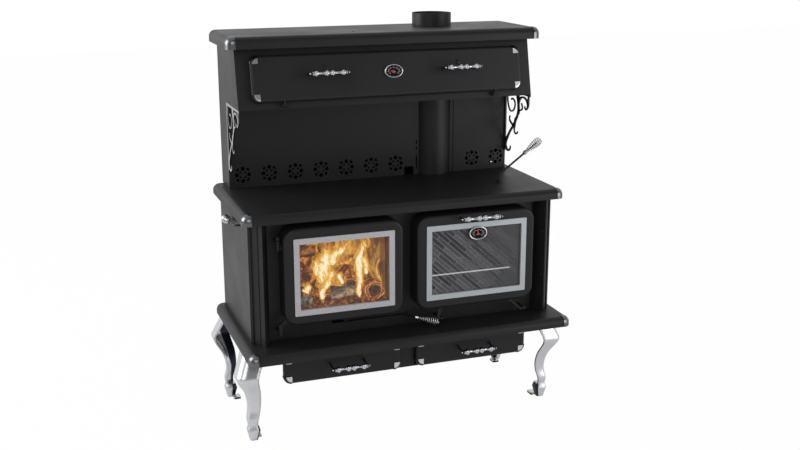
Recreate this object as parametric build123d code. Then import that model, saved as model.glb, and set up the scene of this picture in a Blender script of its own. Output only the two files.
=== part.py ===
from build123d import *
import math
import os

# Wood cookstove. Millimetres, +X right, +Y back, +Z up, floor at z = 0,
# origin below the middle of the stove's outline.

# ---------------------------------------------------------------- driving dimensions
# Heights, one on the other from the floor
leg_height = 360.0
base_thickness = 37.0
body_height = 462.0
cook_top_thickness = 37.0
splash_height = 337.0
cabinet_height = 221.0
shelf_thickness = 43.0
collar_rise = 48.0

# Plan sizes of the three folded slabs
base_half_width = 640.0
base_front = -334.5
base_back = 327.0
body_half_width = base_half_width - 36.0
cook_half_width = body_half_width + 27.5
cook_front = -258.0
cook_back = 331.0
shelf_half_width = body_half_width + 16.0
shelf_front = -38.0
shelf_back = 336.5
slab_corner_radius = 31.6
slab_edge_radius = 24.0
slab_sheet = 5.0
shelf_sheet = 3.0
cap_thickness = 1.9
cap_gap = 0.1

# Body
body_front = -190.0
body_back = 300.0
side_sheet = 3.0
face_front = -181.0
face_sheet = 4.0
pilaster_width = 72.0
pilaster_depth = 59.0
pilaster_sheet = 2.5
bead_radius = 3.0
pilaster_top_gap = 1.5

# Doors of the fire and of the oven
trim_bottom = 508.5
trim_height = 291.0
trim_width = 20.8
trim_proud = 3.0
fire_trim_left = -body_half_width + 150.3
fire_trim_width = 383.6
oven_trim_width = 409.9
oven_trim_left = body_half_width - 137.2 - oven_trim_width
door_border = 36.2
door_front = -262.0
door_back = -184.0
door_wall = 5.0
door_plate = 6.0
door_corner_radius = 48.0
door_edge_radius = 11.0
glass_thickness = 4.0
glass_overlap = 14.0
gasket_width = 8.0
gasket_gap = 0.3
opening_inset = 28.0

# Hinges of the fire door and of the oven door
fire_axis_x = fire_trim_left - door_border - 12.1
fire_axis_y = -228.0
pin_radius = 4.0
knuckle_radius = 9.0
knuckle_height = 27.0
knuckle_inset = 53.6
ball_radius = 10.0
lug_thickness = 8.0
oven_axis_y = -240.0
oven_axis_drop = 48.5
oven_arm_inset = (102.0, 92.0)
oven_pin_reach = (11.0, 50.0)
oven_arm_half = 4.0
oven_lug_gap = 3.0
running_gap = 0.05
face_gap = 0.3

# Firebox and oven
brick_thickness = 32.0
floor_brick_thickness = 25.0
brick_gap = 0.5
shell_plate = 5.0
firebox_depth = 350.0
baffle_thickness = 25.0
baffle_lift = 5.0
oven_sheet = 3.0
oven_depth = 380.0
rack_height = 590.0
rack_wire = 2.5

# Air slot and shutter
slot_left = -292.0
slot_right = 10.0
slot_bottom = 434.0
slot_height = 14.0
shutter_left = -245.0
shutter_right = 20.0
shutter_sheet = 3.0
shutter_travel = 45.0

# Spindle handles
spindle_bead_radius = 12.0
spindle_shaft_radius = 8.0
spindle_waist_radius = 5.2
spindle_pin_radius = 2.5
post_radius = 4.0
eye_radius = 6.5

# Coil handles
coil_wire = 3.0
coil_turns = 10
coil_length = 75.0
coil_small_radius = 6.0
coil_large_radius = 15.5
coil_end_radius = 8.0
control_rod_radius = 4.0

# Drawers
drawer_inner = 30.0
drawer_width = 463.0
drawer_height = 112.0
drawer_bottom = 232.0
drawer_front = -227.0
drawer_thickness = 22.0
drawer_depth = 440.0
drawer_sheet = 2.0
drawer_inset = 8.0
drawer_overhang = 105.0
housing_sheet = 3.0
ledge_width = 12.0

# Splash back, flue, warming cabinet and scroll brackets
splash_front = 195.0
splash_sheet = 2.5
slotted_strip_width = 21.0
right_strip_width = 16.0
cabinet_half_width = body_half_width - 18.0
cabinet_back = 333.0
cabinet_front = -32.0
cabinet_sheet = 2.5
cabinet_lean = 12.6
flue_x = body_half_width - 338.0
left_splash_end = flue_x - 88.0
right_splash_start = flue_x + 84.0
flue_y = 236.0
flue_radius = 76.0
flue_wall = 1.6
collar_bore_radius = 76.2
collar_wall = 2.0
warming_door_half_width = cabinet_half_width - 49.0
warming_door_foot = 24.0
warming_door_height = 171.0
warming_door_thickness = 26.0
warming_hinge_offset = 12.0
fittings_x = 8.0
bracket_sheet = 5.0

# Legs
leg_wall = 8.0
leg_ridge_share = 0.35
leg_knee_out = 44.0
leg_middle_y = base_back - 267.0
leg_foot_x = base_half_width - 20.0
leg_foot_y = base_front + 160.5

# ---------------------------------------------------------------- levels
base_top = leg_height + base_thickness
cook_bottom = base_top + body_height
cook_top = cook_bottom + cook_top_thickness
cook_under = cook_top - slab_sheet
base_under = base_top - slab_sheet
cabinet_bottom = cook_top + splash_height
shelf_bottom = cabinet_bottom + cabinet_height
shelf_top = shelf_bottom + shelf_thickness
shelf_under = shelf_top - shelf_sheet
collar_top = shelf_top + collar_rise
face_back = face_front + face_sheet
face_half_width = body_half_width - pilaster_width

MIN = Align.MIN
MID = Align.CENTER
parts = {}


def add(node, *solids):
    """Put solids under a node's name."""
    parts.setdefault(node, []).extend(solids)


# ---------------------------------------------------------------- basic shapes
def block(x0, x1, y0, y1, z0, z1):
    """A box between two opposite corners."""
    middle = Pos((x0 + x1) / 2, (y0 + y1) / 2, (z0 + z1) / 2)
    return middle * Box(abs(x1 - x0), abs(y1 - y0), abs(z1 - z0))


def bar(start, end, radius):
    """A round bar from one point to another."""
    run = Vector(*end) - Vector(*start)
    return Plane(origin=start, z_dir=run) * Cylinder(radius, run.length, align=(MID, MID, MIN))


def ring(start, end, outer, inner):
    """A round tube from one point to another."""
    return bar(start, end, outer) - bar(start, end, inner)


def ball(centre, radius):
    """A ball around a point."""
    return Pos(*centre) * Sphere(radius)


def rounded_slab(x0, x1, y0, y1, z0, z1, corner, edge):
    """A slab with rounded corners in plan and a quarter-round top edge."""
    slab = block(x0, x1, y0, y1, z0, z1)
    slab = fillet(slab.edges().filter_by(Axis.Z), corner)
    return fillet(slab.edges().group_by(Axis.Z)[-1], edge)


def folded_slab(half_width, front, back, z0, z1, sheet):
    """A slab folded from sheet: a rounded plate with a skirt, open underneath."""
    outer = rounded_slab(-half_width, half_width, front, back, z0, z1, slab_corner_radius, slab_edge_radius)
    inner = rounded_slab(-half_width + sheet, half_width - sheet, front + sheet, back - sheet, z0, z1 - sheet,
                         slab_corner_radius - sheet, slab_edge_radius - sheet)
    return outer - inner


def slab_caps(half_width, front, back, z0, z1):
    """The two bright caps over the front corners of a folded slab."""
    grow = cap_thickness + cap_gap
    outer = rounded_slab(-half_width - grow, half_width + grow, front - grow, back, z0, z1 + grow,
                         slab_corner_radius + grow, slab_edge_radius + grow)
    inner = rounded_slab(-half_width - cap_gap, half_width + cap_gap, front - cap_gap, back, z0, z1 + cap_gap,
                         slab_corner_radius + cap_gap, slab_edge_radius + cap_gap)
    skin = outer - inner
    caps = []
    for side in (-1, 1):
        x_end = side * (half_width + grow)
        x_start = side * (half_width - slab_corner_radius)
        corner = block(min(x_start, x_end), max(x_start, x_end), front - grow, front + slab_corner_radius,
                       z0, z1 + grow)
        caps.append(skin & corner)
    return caps


def facing_box(x0, x1, z0, z1, front, back, corner, edge):
    """A box that faces the front, with rounded corners and a rounded front edge."""
    box = block(x0, x1, front, back, z0, z1)
    box = fillet(box.edges().filter_by(Axis.Y), corner)
    return fillet(box.edges().group_by(Axis.Y)[0], edge)


def facing_caps(x0, x1, z0, z1, front, back, corner, edge, span):
    """Four bright caps over the corners of a box that faces the front."""
    grow = cap_thickness + cap_gap
    outer = facing_box(x0 - grow, x1 + grow, z0 - grow, z1 + grow, front - grow, back, corner + grow, edge + grow)
    inner = facing_box(x0 - cap_gap, x1 + cap_gap, z0 - cap_gap, z1 + cap_gap, front - cap_gap, back,
                       corner + cap_gap, edge + cap_gap)
    skin = outer - inner
    caps = []
    for x_edge, x_in in ((x0 - grow, x0 + span), (x1 + grow, x1 - span)):
        for z_edge, z_in in ((z0 - grow, z0 + span), (z1 + grow, z1 - span)):
            corner_box = block(min(x_edge, x_in), max(x_edge, x_in), front - grow, back,
                               min(z_edge, z_in), max(z_edge, z_in))
            caps.append(skin & corner_box)
    return caps


screw_head_radius = 4.0
screw_head_height = 2.4
screw_shank_radius = 2.0
screw_shank_length = 8.0


def screw(point, outward):
    """A round-head screw whose head stands on a face at a point."""
    seat = Plane(origin=point, z_dir=outward)
    sphere_radius = (screw_head_radius ** 2 + screw_head_height ** 2) / (2 * screw_head_height)
    dome = Pos(0, 0, screw_head_height - sphere_radius) * Sphere(sphere_radius)
    head = dome & Cylinder(screw_head_radius, screw_head_height, align=(MID, MID, MIN))
    shank = Cylinder(screw_shank_radius, screw_shank_length, align=(MID, MID, Align.MAX))
    return seat * (head + shank)


def screw_hole(point, outward):
    """The hole that a round-head screw passes."""
    seat = Plane(origin=point, z_dir=outward)
    return seat * Cylinder(screw_shank_radius + cap_gap, 4 * screw_shank_length)


# ---------------------------------------------------------------- handles
def spindle(length):
    """A turned handle along X: double-cone beads, tapering shafts, pins and end balls."""
    half = length / 2
    outer_bead = half * 0.766
    inner_bead = half * 0.166
    bead_half = 7.5
    ferrule = 5.0
    pin_length = 2 * eye_radius + 2 * face_gap
    end_ball = 3.4
    profile = [
        (0, spindle_shaft_radius * 0.85),
        (inner_bead - bead_half, spindle_shaft_radius),
        (inner_bead, spindle_bead_radius),
        (inner_bead + bead_half, spindle_shaft_radius),
        ((inner_bead + outer_bead) / 2, spindle_waist_radius),
        (outer_bead - bead_half, spindle_shaft_radius),
        (outer_bead, spindle_bead_radius),
        (outer_bead + bead_half, spindle_shaft_radius * 0.8),
        (half - ferrule, spindle_shaft_radius * 0.8),
        (half - ferrule, spindle_shaft_radius),
        (half, spindle_shaft_radius),
        (half, spindle_pin_radius),
        (half + pin_length, spindle_pin_radius),
    ]
    right = [Vector(x, r) for x, r in profile]
    left = [Vector(-x, r) for x, r in reversed(profile[1:])]
    tip = half + pin_length
    outline = Polyline(*left, *right, (tip, 0), (-tip, 0), close=True)
    body = revolve(make_face(outline), Axis.X)
    for side in (-1, 1):
        body += Pos(side * (tip + end_ball * 0.6), 0, 0) * Sphere(end_ball)
    return body


def post(root, eye):
    """A black stand-off post from a face to the eye that carries a spindle handle."""
    stem = bar(root, eye, post_radius)
    knob = ball(eye, eye_radius)
    bore = bar((eye[0] - 2 * eye_radius, eye[1], eye[2]), (eye[0] + 2 * eye_radius, eye[1], eye[2]),
               spindle_pin_radius + running_gap)
    flats = block(eye[0] - eye_radius + 0.5, eye[0] + eye_radius - 0.5, eye[1] - 20, eye[1] + 20,
                  eye[2] - 20, eye[2] + 20)
    return (stem + (knob & flats)) - bore


def spindle_set(length, root_y, stand_off, centre_x, centre_z):
    """A spindle handle and its two posts, off a face that looks to the front."""
    eye_x = length / 2 + eye_radius + face_gap
    eye_y = root_y - stand_off
    solids = [Pos(centre_x, eye_y, centre_z) * spindle(length)]
    for side in (-1, 1):
        x = centre_x + side * eye_x
        solids.append(post((x, root_y, centre_z), (x, eye_y, centre_z)))
    return solids


def coil_radius(u):
    """The coil's radius at a share of its length: small, swelling, then drawn in."""
    peak = 0.78
    if u < peak:
        swell = math.sin(math.pi / 2 * u / peak)
        return coil_small_radius + (coil_large_radius - coil_small_radius) * swell
    fall = 1 - math.cos(math.pi / 2 * (u - peak) / (1 - peak))
    return coil_large_radius - (coil_large_radius - coil_end_radius) * fall


def coil_point(u):
    """A point of the coil along +Z, at a share of its length."""
    angle = 2 * math.pi * coil_turns * u
    radius = coil_radius(u)
    return Vector(radius * math.cos(angle), radius * math.sin(angle), coil_wire + coil_length * u)


def coil_tangent(u):
    """The coil's direction at a share of its length."""
    step = 1e-5
    low = max(u - step, 0)
    high = min(u + step, 1)
    return (coil_point(high) - coil_point(low)).normalized()


def biarc(p0, t0, p1, t1):
    """Two arcs that join two points with given directions."""
    v = p1 - p0
    t = t0 + t1
    spread = 2 * (1 - t0.dot(t1))
    d = (-v.dot(t) + math.sqrt(v.dot(t) ** 2 + spread * v.dot(v))) / spread
    q1 = p0 + t0 * d
    q2 = p1 - t1 * d
    joint = (q1 + q2) * 0.5
    return [TangentArc(p0, joint, tangent=t0), TangentArc(joint, p1, tangent=joint - q1)]


def coil_spring():
    """The cool coil of a handle as one unbroken wire along +Z, its foot square to z = 0."""
    up = Vector(0, 0, 1)
    start = Vector(coil_small_radius, 0, 0)
    bend = Vector(coil_small_radius, 0, coil_wire)
    steps = coil_turns * 4
    edges = [Line(start, bend)]
    edges += biarc(bend, up, coil_point(1 / steps), coil_tangent(1 / steps))
    for quarter in range(1, steps):
        u0 = quarter / steps
        u1 = (quarter + 1) / steps
        edges += biarc(coil_point(u0), coil_tangent(u0), coil_point(u1), coil_tangent(u1))
    path = Wire(edges)
    samples = 12 * steps
    points = [path.position_at(i / samples) for i in range(samples + 1)]
    least = min((points[i] - points[k]).length for i in range(samples + 1) for k in range(i + 24, samples + 1))
    print(f"coil: least gap to itself {least - coil_wire:.2f} mm, wire {path.length:.0f} mm long")
    return sweep(Plane(origin=start, z_dir=up) * Circle(coil_wire / 2), path=path)


ferrule_radius = 8.5
ferrule_length = 12.0


def coil_grip(start, direction, spring):
    """Ferrule, core and coil from a rod's end, along a direction."""
    seat = Plane(origin=start, z_dir=direction)
    core_length = 0.75 * coil_length
    core = Cylinder(control_rod_radius * 0.8, ferrule_length + core_length, align=(MID, MID, MIN))
    collar = Cylinder(ferrule_radius, ferrule_length, align=(MID, MID, MIN)) - core
    return seat * core, seat * collar, seat * Pos(0, 0, ferrule_length) * spring


# ---------------------------------------------------------------- legs
def leg_section(z, corner, width):
    """An L section of the front left leg: its corner's half width and its wall's width."""
    x = -corner
    y = leg_foot_y - (corner - leg_foot_x)
    outer = leg_ridge_share * width
    inner = outer - leg_wall
    t = leg_wall
    bend = math.sqrt(0.5)
    lines = [
        Line((x + width, y, z), (x + outer, y, z)),
        ThreePointArc((x + outer, y, z), (x + outer - outer * bend, y + outer - outer * bend, z),
                      (x, y + outer, z)),
        Line((x, y + outer, z), (x, y + width, z)),
        Line((x, y + width, z), (x + t, y + width, z)),
        Line((x + t, y + width, z), (x + t, y + t + inner, z)),
        ThreePointArc((x + t, y + t + inner, z),
                      (x + t + inner - inner * bend, y + t + inner - inner * bend, z), (x + t + inner, y + t, z)),
        Line((x + t + inner, y + t, z), (x + width, y + t, z)),
        Line((x + width, y + t, z), (x + width, y, z)),
    ]
    return Face(Wire(lines))


def front_left_leg():
    """The casting of the front left leg: knee, tapering shin, ankle ring, foot and top flange."""
    knee = leg_foot_x + leg_knee_out
    knee_z = leg_height - 84.0
    shape = [
        (knee_z, knee - 3.0, 78.0),
        (knee_z - 17.0, knee, 78.0),
        (knee_z - 40.0, knee - 9.0, 72.0),
        (knee_z - 70.0, knee - 27.0, 61.0),
        (knee_z - 105.0, knee - 41.0, 51.0),
        (knee_z - 150.0, knee - 47.0, 43.0),
        (56.0, leg_foot_x - 1.0, 32.0),
    ]
    faces = [leg_section(z, corner, width) for z, corner, width in shape]
    thigh = loft([leg_section(leg_height, knee - 38.0, 80.0), faces[0]])
    shin = loft(faces)
    x = -leg_foot_x
    y = leg_foot_y
    levels = ((0, 30, 8), (39, 48, 10), (58, 38, 9))
    rings = [Plane((x + 19, y + 19, z)) * RectangleRounded(side, side, radius) for z, side, radius in levels]
    foot = loft([rings[0].face(), rings[1].face()])
    ankle = loft([rings[1].face(), rings[2].face()])
    sole = block(x + 22, x + 52, y + 26, y + 66, 0, 7)
    sole = fillet(sole.edges().filter_by(Axis.Z), 7)
    corner = knee - 38.0
    top_x = -corner
    top_y = leg_foot_y - (corner - leg_foot_x)
    flange = block(top_x + 4, top_x + 80, top_y + 4, top_y + 80, leg_height - leg_wall, leg_height)
    flange = fillet(flange.edges().filter_by(Axis.Z), 24)
    leg = thigh + shin + ankle + foot + sole + flange
    for dx, dy in leg_bolt_places:
        leg -= Pos(top_x + dx, top_y + dy, leg_height) * Cylinder(leg_bolt_radius + cap_gap, 4 * leg_wall)
    return leg, (top_x, top_y)


leg_bolt_radius = 4.0
bolt_head_radius = 7.5
bolt_head_height = 5.5
leg_bolt_places = ((60.0, 30.0), (30.0, 60.0))
gusset_size = 106.0
gusset_front = leg_foot_y - 38.0


def leg_bolt(x, y):
    """A bolt up through a leg's flange and the base's gusset, with its nut."""
    low = leg_height - leg_wall
    high = leg_height + slab_sheet
    head = Pos(x, y, low - bolt_head_height) * extrude(RegularPolygon(bolt_head_radius, 6), bolt_head_height)
    nut = Pos(x, y, high) * extrude(RegularPolygon(bolt_head_radius, 6), bolt_head_height)
    return head + nut + bar((x, y, low), (x, y, high + bolt_head_height + 2), leg_bolt_radius)


def make_legs():
    """Four legs with their bolts, mirrored from the front left one."""
    leg, (top_x, top_y) = front_left_leg()
    middle = Plane.XZ.offset(-leg_middle_y)
    back_leg = mirror(leg, about=middle)
    add("leg_front_left", leg)
    add("leg_back_left", back_leg)
    add("leg_front_right", mirror(leg, about=Plane.YZ))
    add("leg_back_right", mirror(back_leg, about=Plane.YZ))
    holes = []
    for dx, dy in leg_bolt_places:
        for side in (-1, 1):
            x = side * (-(top_x + dx))
            for y in (top_y + dy, 2 * leg_middle_y - top_y - dy):
                add("leg_bolts", leg_bolt(x, y))
                holes.append((x, y))
    return holes


def make_base(bolt_holes):
    """The base shelf, with a gusset over each leg that the leg's flange is bolted to."""
    base = folded_slab(base_half_width, base_front, base_back, leg_height, base_top, slab_sheet)
    outside = base_half_width - slab_sheet / 2
    for side in (-1, 1):
        for y0, y1 in ((gusset_front, gusset_front + gusset_size), (base_back - gusset_size, base_back - 2)):
            x_in = side * (outside - gusset_size)
            plate = block(min(x_in, side * outside), max(x_in, side * outside), y0, y1,
                          leg_height, leg_height + slab_sheet)
            inside = rounded_slab(-base_half_width + 1, base_half_width - 1, base_front + 1, base_back - 1,
                                  leg_height - 1, base_top, slab_corner_radius - 1, slab_edge_radius - 1)
            base += plate & inside
    for x, y in bolt_holes:
        base -= Pos(x, y, leg_height) * Cylinder(leg_bolt_radius + cap_gap, 4 * slab_sheet)
    add("base_shelf", base)
    add("corner_caps", *slab_caps(base_half_width, base_front, base_back, leg_height, base_top))


# ---------------------------------------------------------------- drawers
drawer_edge_radius = 11.0
drawer_corner_radius = 30.0
drawer_cap_span = 30.0
drawer_handle_length = 124.0
drawer_handle_places = {"left": -249.0, "right": 270.5}
drawer_handle_height = 57.0
drawer_handle_stand_off = 55.0


def make_drawer_housing():
    """The housing under the base: bottom, sides, back, middle box and the ledges that carry the trays."""
    s = housing_sheet
    low = drawer_bottom - s - 1
    outer = drawer_inner + drawer_width - drawer_overhang
    front = drawer_front + drawer_thickness + 1
    back = front + drawer_depth + 10
    ledge_top = low + s + drawer_sheet + 1
    add("drawer_housing", block(-outer, outer, front, back, low, low + s))
    add("drawer_housing", block(-outer, outer, back, back + s, low, base_under))
    for side in (-1, 1):
        x_out = side * outer
        add("drawer_housing", block(x_out - side * s, x_out, front, back, low + s, base_under))
        x_in = side * drawer_inner
        add("drawer_housing", block(x_in - side * s, x_in, front, back, low + s, base_under))
        for x0, x1 in ((x_out - side * s, x_out - side * (s + ledge_width)), (x_in, x_in + side * ledge_width)):
            add("drawer_housing", block(min(x0, x1), max(x0, x1), front, back, ledge_top - 2, ledge_top))
    panel_half = drawer_inner - s
    add("drawer_housing", block(-panel_half, panel_half, front, front + s, low + s, base_under))
    return ledge_top


def make_drawer(side_name, side, ledge_top):
    """One drawer: a front wider than its tray, with handle and corner caps."""
    x_a = side * (drawer_inner + face_gap)
    x_b = side * (drawer_inner + drawer_width)
    x0, x1 = min(x_a, x_b), max(x_a, x_b)
    z0, z1 = drawer_bottom, drawer_bottom + drawer_height
    back = drawer_front + drawer_thickness
    front = facing_box(x0, x1, z0, z1, drawer_front, back, drawer_corner_radius, drawer_edge_radius)
    tray_in = x_a + side * drawer_inset
    tray_out = x_b - side * (drawer_overhang + drawer_inset)
    tray_x0, tray_x1 = min(tray_in, tray_out), max(tray_in, tray_out)
    tray_z0 = ledge_top + face_gap
    tray_z1 = z1 - 8
    tray = block(tray_x0, tray_x1, back, back + drawer_depth, tray_z0, tray_z1)
    s = drawer_sheet
    tray -= block(tray_x0 + s, tray_x1 - s, back + s, back + drawer_depth - s, tray_z0 + s, tray_z1 + 1)
    add(f"{side_name}_drawer", front + tray)
    caps = facing_caps(x0, x1, z0, z1, drawer_front, back, drawer_corner_radius, drawer_edge_radius,
                       drawer_cap_span)
    add(f"{side_name}_drawer_corners", *caps)
    centre_x = drawer_handle_places[side_name]
    handle_z = drawer_bottom + drawer_handle_height
    add(f"{side_name}_drawer_handle", *spindle_set(drawer_handle_length, drawer_front, drawer_handle_stand_off,
                                                   centre_x, handle_z))


# ---------------------------------------------------------------- body
lower_screws = ((-315.0, 437.0), (205.0, 410.0), (357.0, 412.0), (412.0, 404.0), (283.0, 432.0))


def door_frames():
    """Outline of both doors: left, right, bottom and top."""
    z0 = trim_bottom - door_border
    z1 = trim_bottom + trim_height + door_border
    fire = (fire_trim_left - door_border, fire_trim_left + fire_trim_width + door_border, z0, z1)
    oven = (oven_trim_left - door_border, oven_trim_left + oven_trim_width + door_border, z0, z1)
    return fire, oven


fire_frame, oven_frame = door_frames()


def inset(frame, by):
    """A door's outline drawn in on all sides."""
    x0, x1, z0, z1 = frame
    return x0 + by, x1 - by, z0 + by, z1 - by


fire_hole = inset(fire_frame, opening_inset)
oven_hole = inset(oven_frame, opening_inset)


def pilaster_profile():
    """Plan of the left pilaster: bead, two slanted flats with a step, corner and return."""
    x = -body_half_width
    y = face_front
    corner = (x + 42, y - pilaster_depth)
    x_in = x + side_sheet + face_gap
    y_lip = body_front - side_sheet
    outer = Polyline((x_in, y_lip), (x, y_lip), (x, y_lip - 2), (x + 11, y - 17), (x + 28, y - 39),
                     (x + 30.5, y - 38.5), corner, (x + pilaster_width, y), (x + pilaster_width, y + 3),
                     (x_in, y + 3), close=True)
    face = make_face(outer)
    hollow = offset(face, amount=-pilaster_sheet)
    back_gap = Pos(x + pilaster_width / 2 + 2, y + 2) * Rectangle(pilaster_width - 4 * pilaster_sheet, 8)
    return face - hollow - back_gap


def pilaster_screw_places():
    """The two screws on the left pilaster's return, at a third and two thirds of its height."""
    x = -body_half_width
    foot = Vector(x + 42, face_front - pilaster_depth)
    end = Vector(x + pilaster_width, face_front)
    middle = foot + (end - foot) * 0.25
    outward = Vector(end.Y - foot.Y, -(end.X - foot.X), 0).normalized()
    return [((middle.X, middle.Y, base_top + body_height * share), outward) for share in (0.33, 0.71)]


def make_body():
    """Side panels, back panel, face plate, pilasters and their screws."""
    for side, name in ((-1, "left"), (1, "right")):
        x_out = side * body_half_width
        panel = block(x_out - side * side_sheet, x_out, body_front, body_back, base_top, cook_under)
        if side == -1:
            panel -= bar((x_out - 10, lever_y, lever_z), (x_out + 10, lever_y, lever_z),
                         control_rod_radius + running_gap)
        add(f"{name}_side_panel", panel)
    inner = body_half_width - side_sheet
    add("back_panel", block(-inner, inner, body_back - side_sheet, body_back, base_top, cook_under))

    face = block(-face_half_width, face_half_width, face_front, face_back, base_top, cook_under)
    for x0, x1, z0, z1 in (fire_hole, oven_hole):
        hole = block(x0, x1, face_front - 5, face_back + 5, z0, z1)
        face -= fillet(hole.edges().filter_by(Axis.Y), 20)
    face -= block(slot_left, slot_right, face_front - 5, face_back + 5, slot_bottom, slot_bottom + slot_height)
    forward = Vector(0, -1, 0)
    for x, z in lower_screws:
        face -= screw_hole((x, face_front, z), forward)
        add("panel_screws", screw((x, face_front, z), forward))
    web_top = slot_bottom + slot_height + 3
    web_low = slot_bottom - 3
    guide_back = face_back + shutter_sheet + 4 * face_gap
    guide_left = shutter_left - shutter_travel - 10
    for z_near, z_far in ((web_top + face_gap, web_top + 5), (web_low - face_gap, web_low - 5)):
        z_lip = z_near + math.copysign(4, z_near - z_far)
        face += block(guide_left, shutter_right + 20, face_back, guide_back, min(z_near, z_far), max(z_near, z_far))
        face += block(guide_left, shutter_right + 20, guide_back, guide_back + 2, min(z_lip, z_far),
                      max(z_lip, z_far))
    add("face_plate", face)

    bead_x = -body_half_width + 7
    bead_y = face_front - 16
    profile = pilaster_profile() + Pos(bead_x, bead_y) * Circle(bead_radius)
    pilaster = Pos(0, 0, base_top) * extrude(profile, cook_under - pilaster_top_gap - base_top)
    for point, outward in pilaster_screw_places():
        head = screw(point, outward)
        add("panel_screws", head, mirror(head, about=Plane.YZ))
        pilaster -= screw_hole(point, outward)
    add("left_pilaster", pilaster)
    add("right_pilaster", mirror(pilaster, about=Plane.YZ))


# ---------------------------------------------------------------- firebox and oven
def make_firebox():
    """The steel shell, its brick lining and the baffle, open to the smoke space at the upper right."""
    x0, x1, z0, z1 = fire_hole
    wall_left = x0 - brick_thickness
    wall_right = x1 + brick_thickness
    floor_z = z0 - floor_brick_thickness
    back_inside = face_back + firebox_depth
    back_wall = back_inside + brick_thickness
    p = shell_plate
    brick_top = z1 + baffle_lift
    add("firebox_shell",
        block(wall_left - p, wall_right + p, face_back, back_wall + p, floor_z - p, floor_z),
        block(wall_left - p, wall_left, face_back, back_wall + p, floor_z, cook_under),
        block(wall_right, wall_right + p, face_back, back_wall + p, floor_z, z1 + 40),
        block(wall_left, wall_right, back_wall, back_wall + p, floor_z, cook_under))
    floor_columns, floor_rows = 4, 3
    brick_wide = (wall_right - wall_left) / floor_columns
    brick_deep = (back_wall - face_back) / floor_rows
    for column in range(floor_columns):
        for row in range(floor_rows):
            bx = wall_left + column * brick_wide
            by = face_back + row * brick_deep
            add("firebricks", block(bx, bx + brick_wide - brick_gap, by, by + brick_deep - brick_gap, floor_z, z0))
    side_rows, side_courses = 3, 2
    side_deep = (back_inside - face_back) / side_rows
    course = (brick_top - z0) / side_courses
    for row in range(side_rows):
        for level in range(side_courses):
            by = face_back + row * side_deep
            bz = z0 + level * course
            for bx in (wall_left, x1):
                add("firebricks", block(bx, bx + brick_thickness, by, by + side_deep - brick_gap,
                                        bz, bz + course - brick_gap * (level == 0)))
    back_columns = 4
    for column in range(back_columns):
        for level in range(side_courses):
            bx = wall_left + column * brick_wide
            bz = z0 + level * course
            add("firebricks", block(bx, bx + brick_wide - brick_gap, back_inside, back_wall,
                                    bz, bz + course - brick_gap * (level == 0)))
    add("baffle", block(wall_left + 1, wall_right - 1, face_back + 70, back_wall - 1, brick_top,
                        brick_top + baffle_thickness))


def make_oven():
    """The oven's shell with its rack ledges, and the wire rack."""
    x0, x1, z0, z1 = oven_hole
    s = oven_sheet
    back = face_back + oven_depth
    shell = block(x0 - s, x1 + s, face_back, back, z0 - s, z1 + s)
    shell -= block(x0, x1, face_back - 5, back - s, z0, z1)
    ledge = 9.0
    for x_wall, side in ((x0, 1), (x1, -1)):
        for level in (rack_height, rack_height + 90):
            inner = x_wall + side * ledge
            shell += block(min(x_wall, inner), max(x_wall, inner), face_back + 12, back - s, level - 5, level - 2)
    add("oven_shell", shell)

    half = rack_wire
    left, right = x0 + 3, x1 - 3
    near = face_back + 14
    far = back - s - 12
    level = rack_height - 2 + half + face_gap
    middle = Pos((left + right) / 2, (near + far) / 2, level)
    loop = (middle * RectangleRounded(right - left - 2 * half, far - near, 4 * half)).wire()
    rack = sweep(Plane(origin=loop @ 0, z_dir=loop % 0) * Circle(half), path=loop)
    cross_wire_count = 13
    upper = level + half * 1.5
    for i in range(1, cross_wire_count + 1):
        x = left + (right - left) * i / (cross_wire_count + 1)
        rack += bar((x, near - half, upper), (x, far + half, upper), half * 0.7)
    add("oven_rack", rack)


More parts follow.
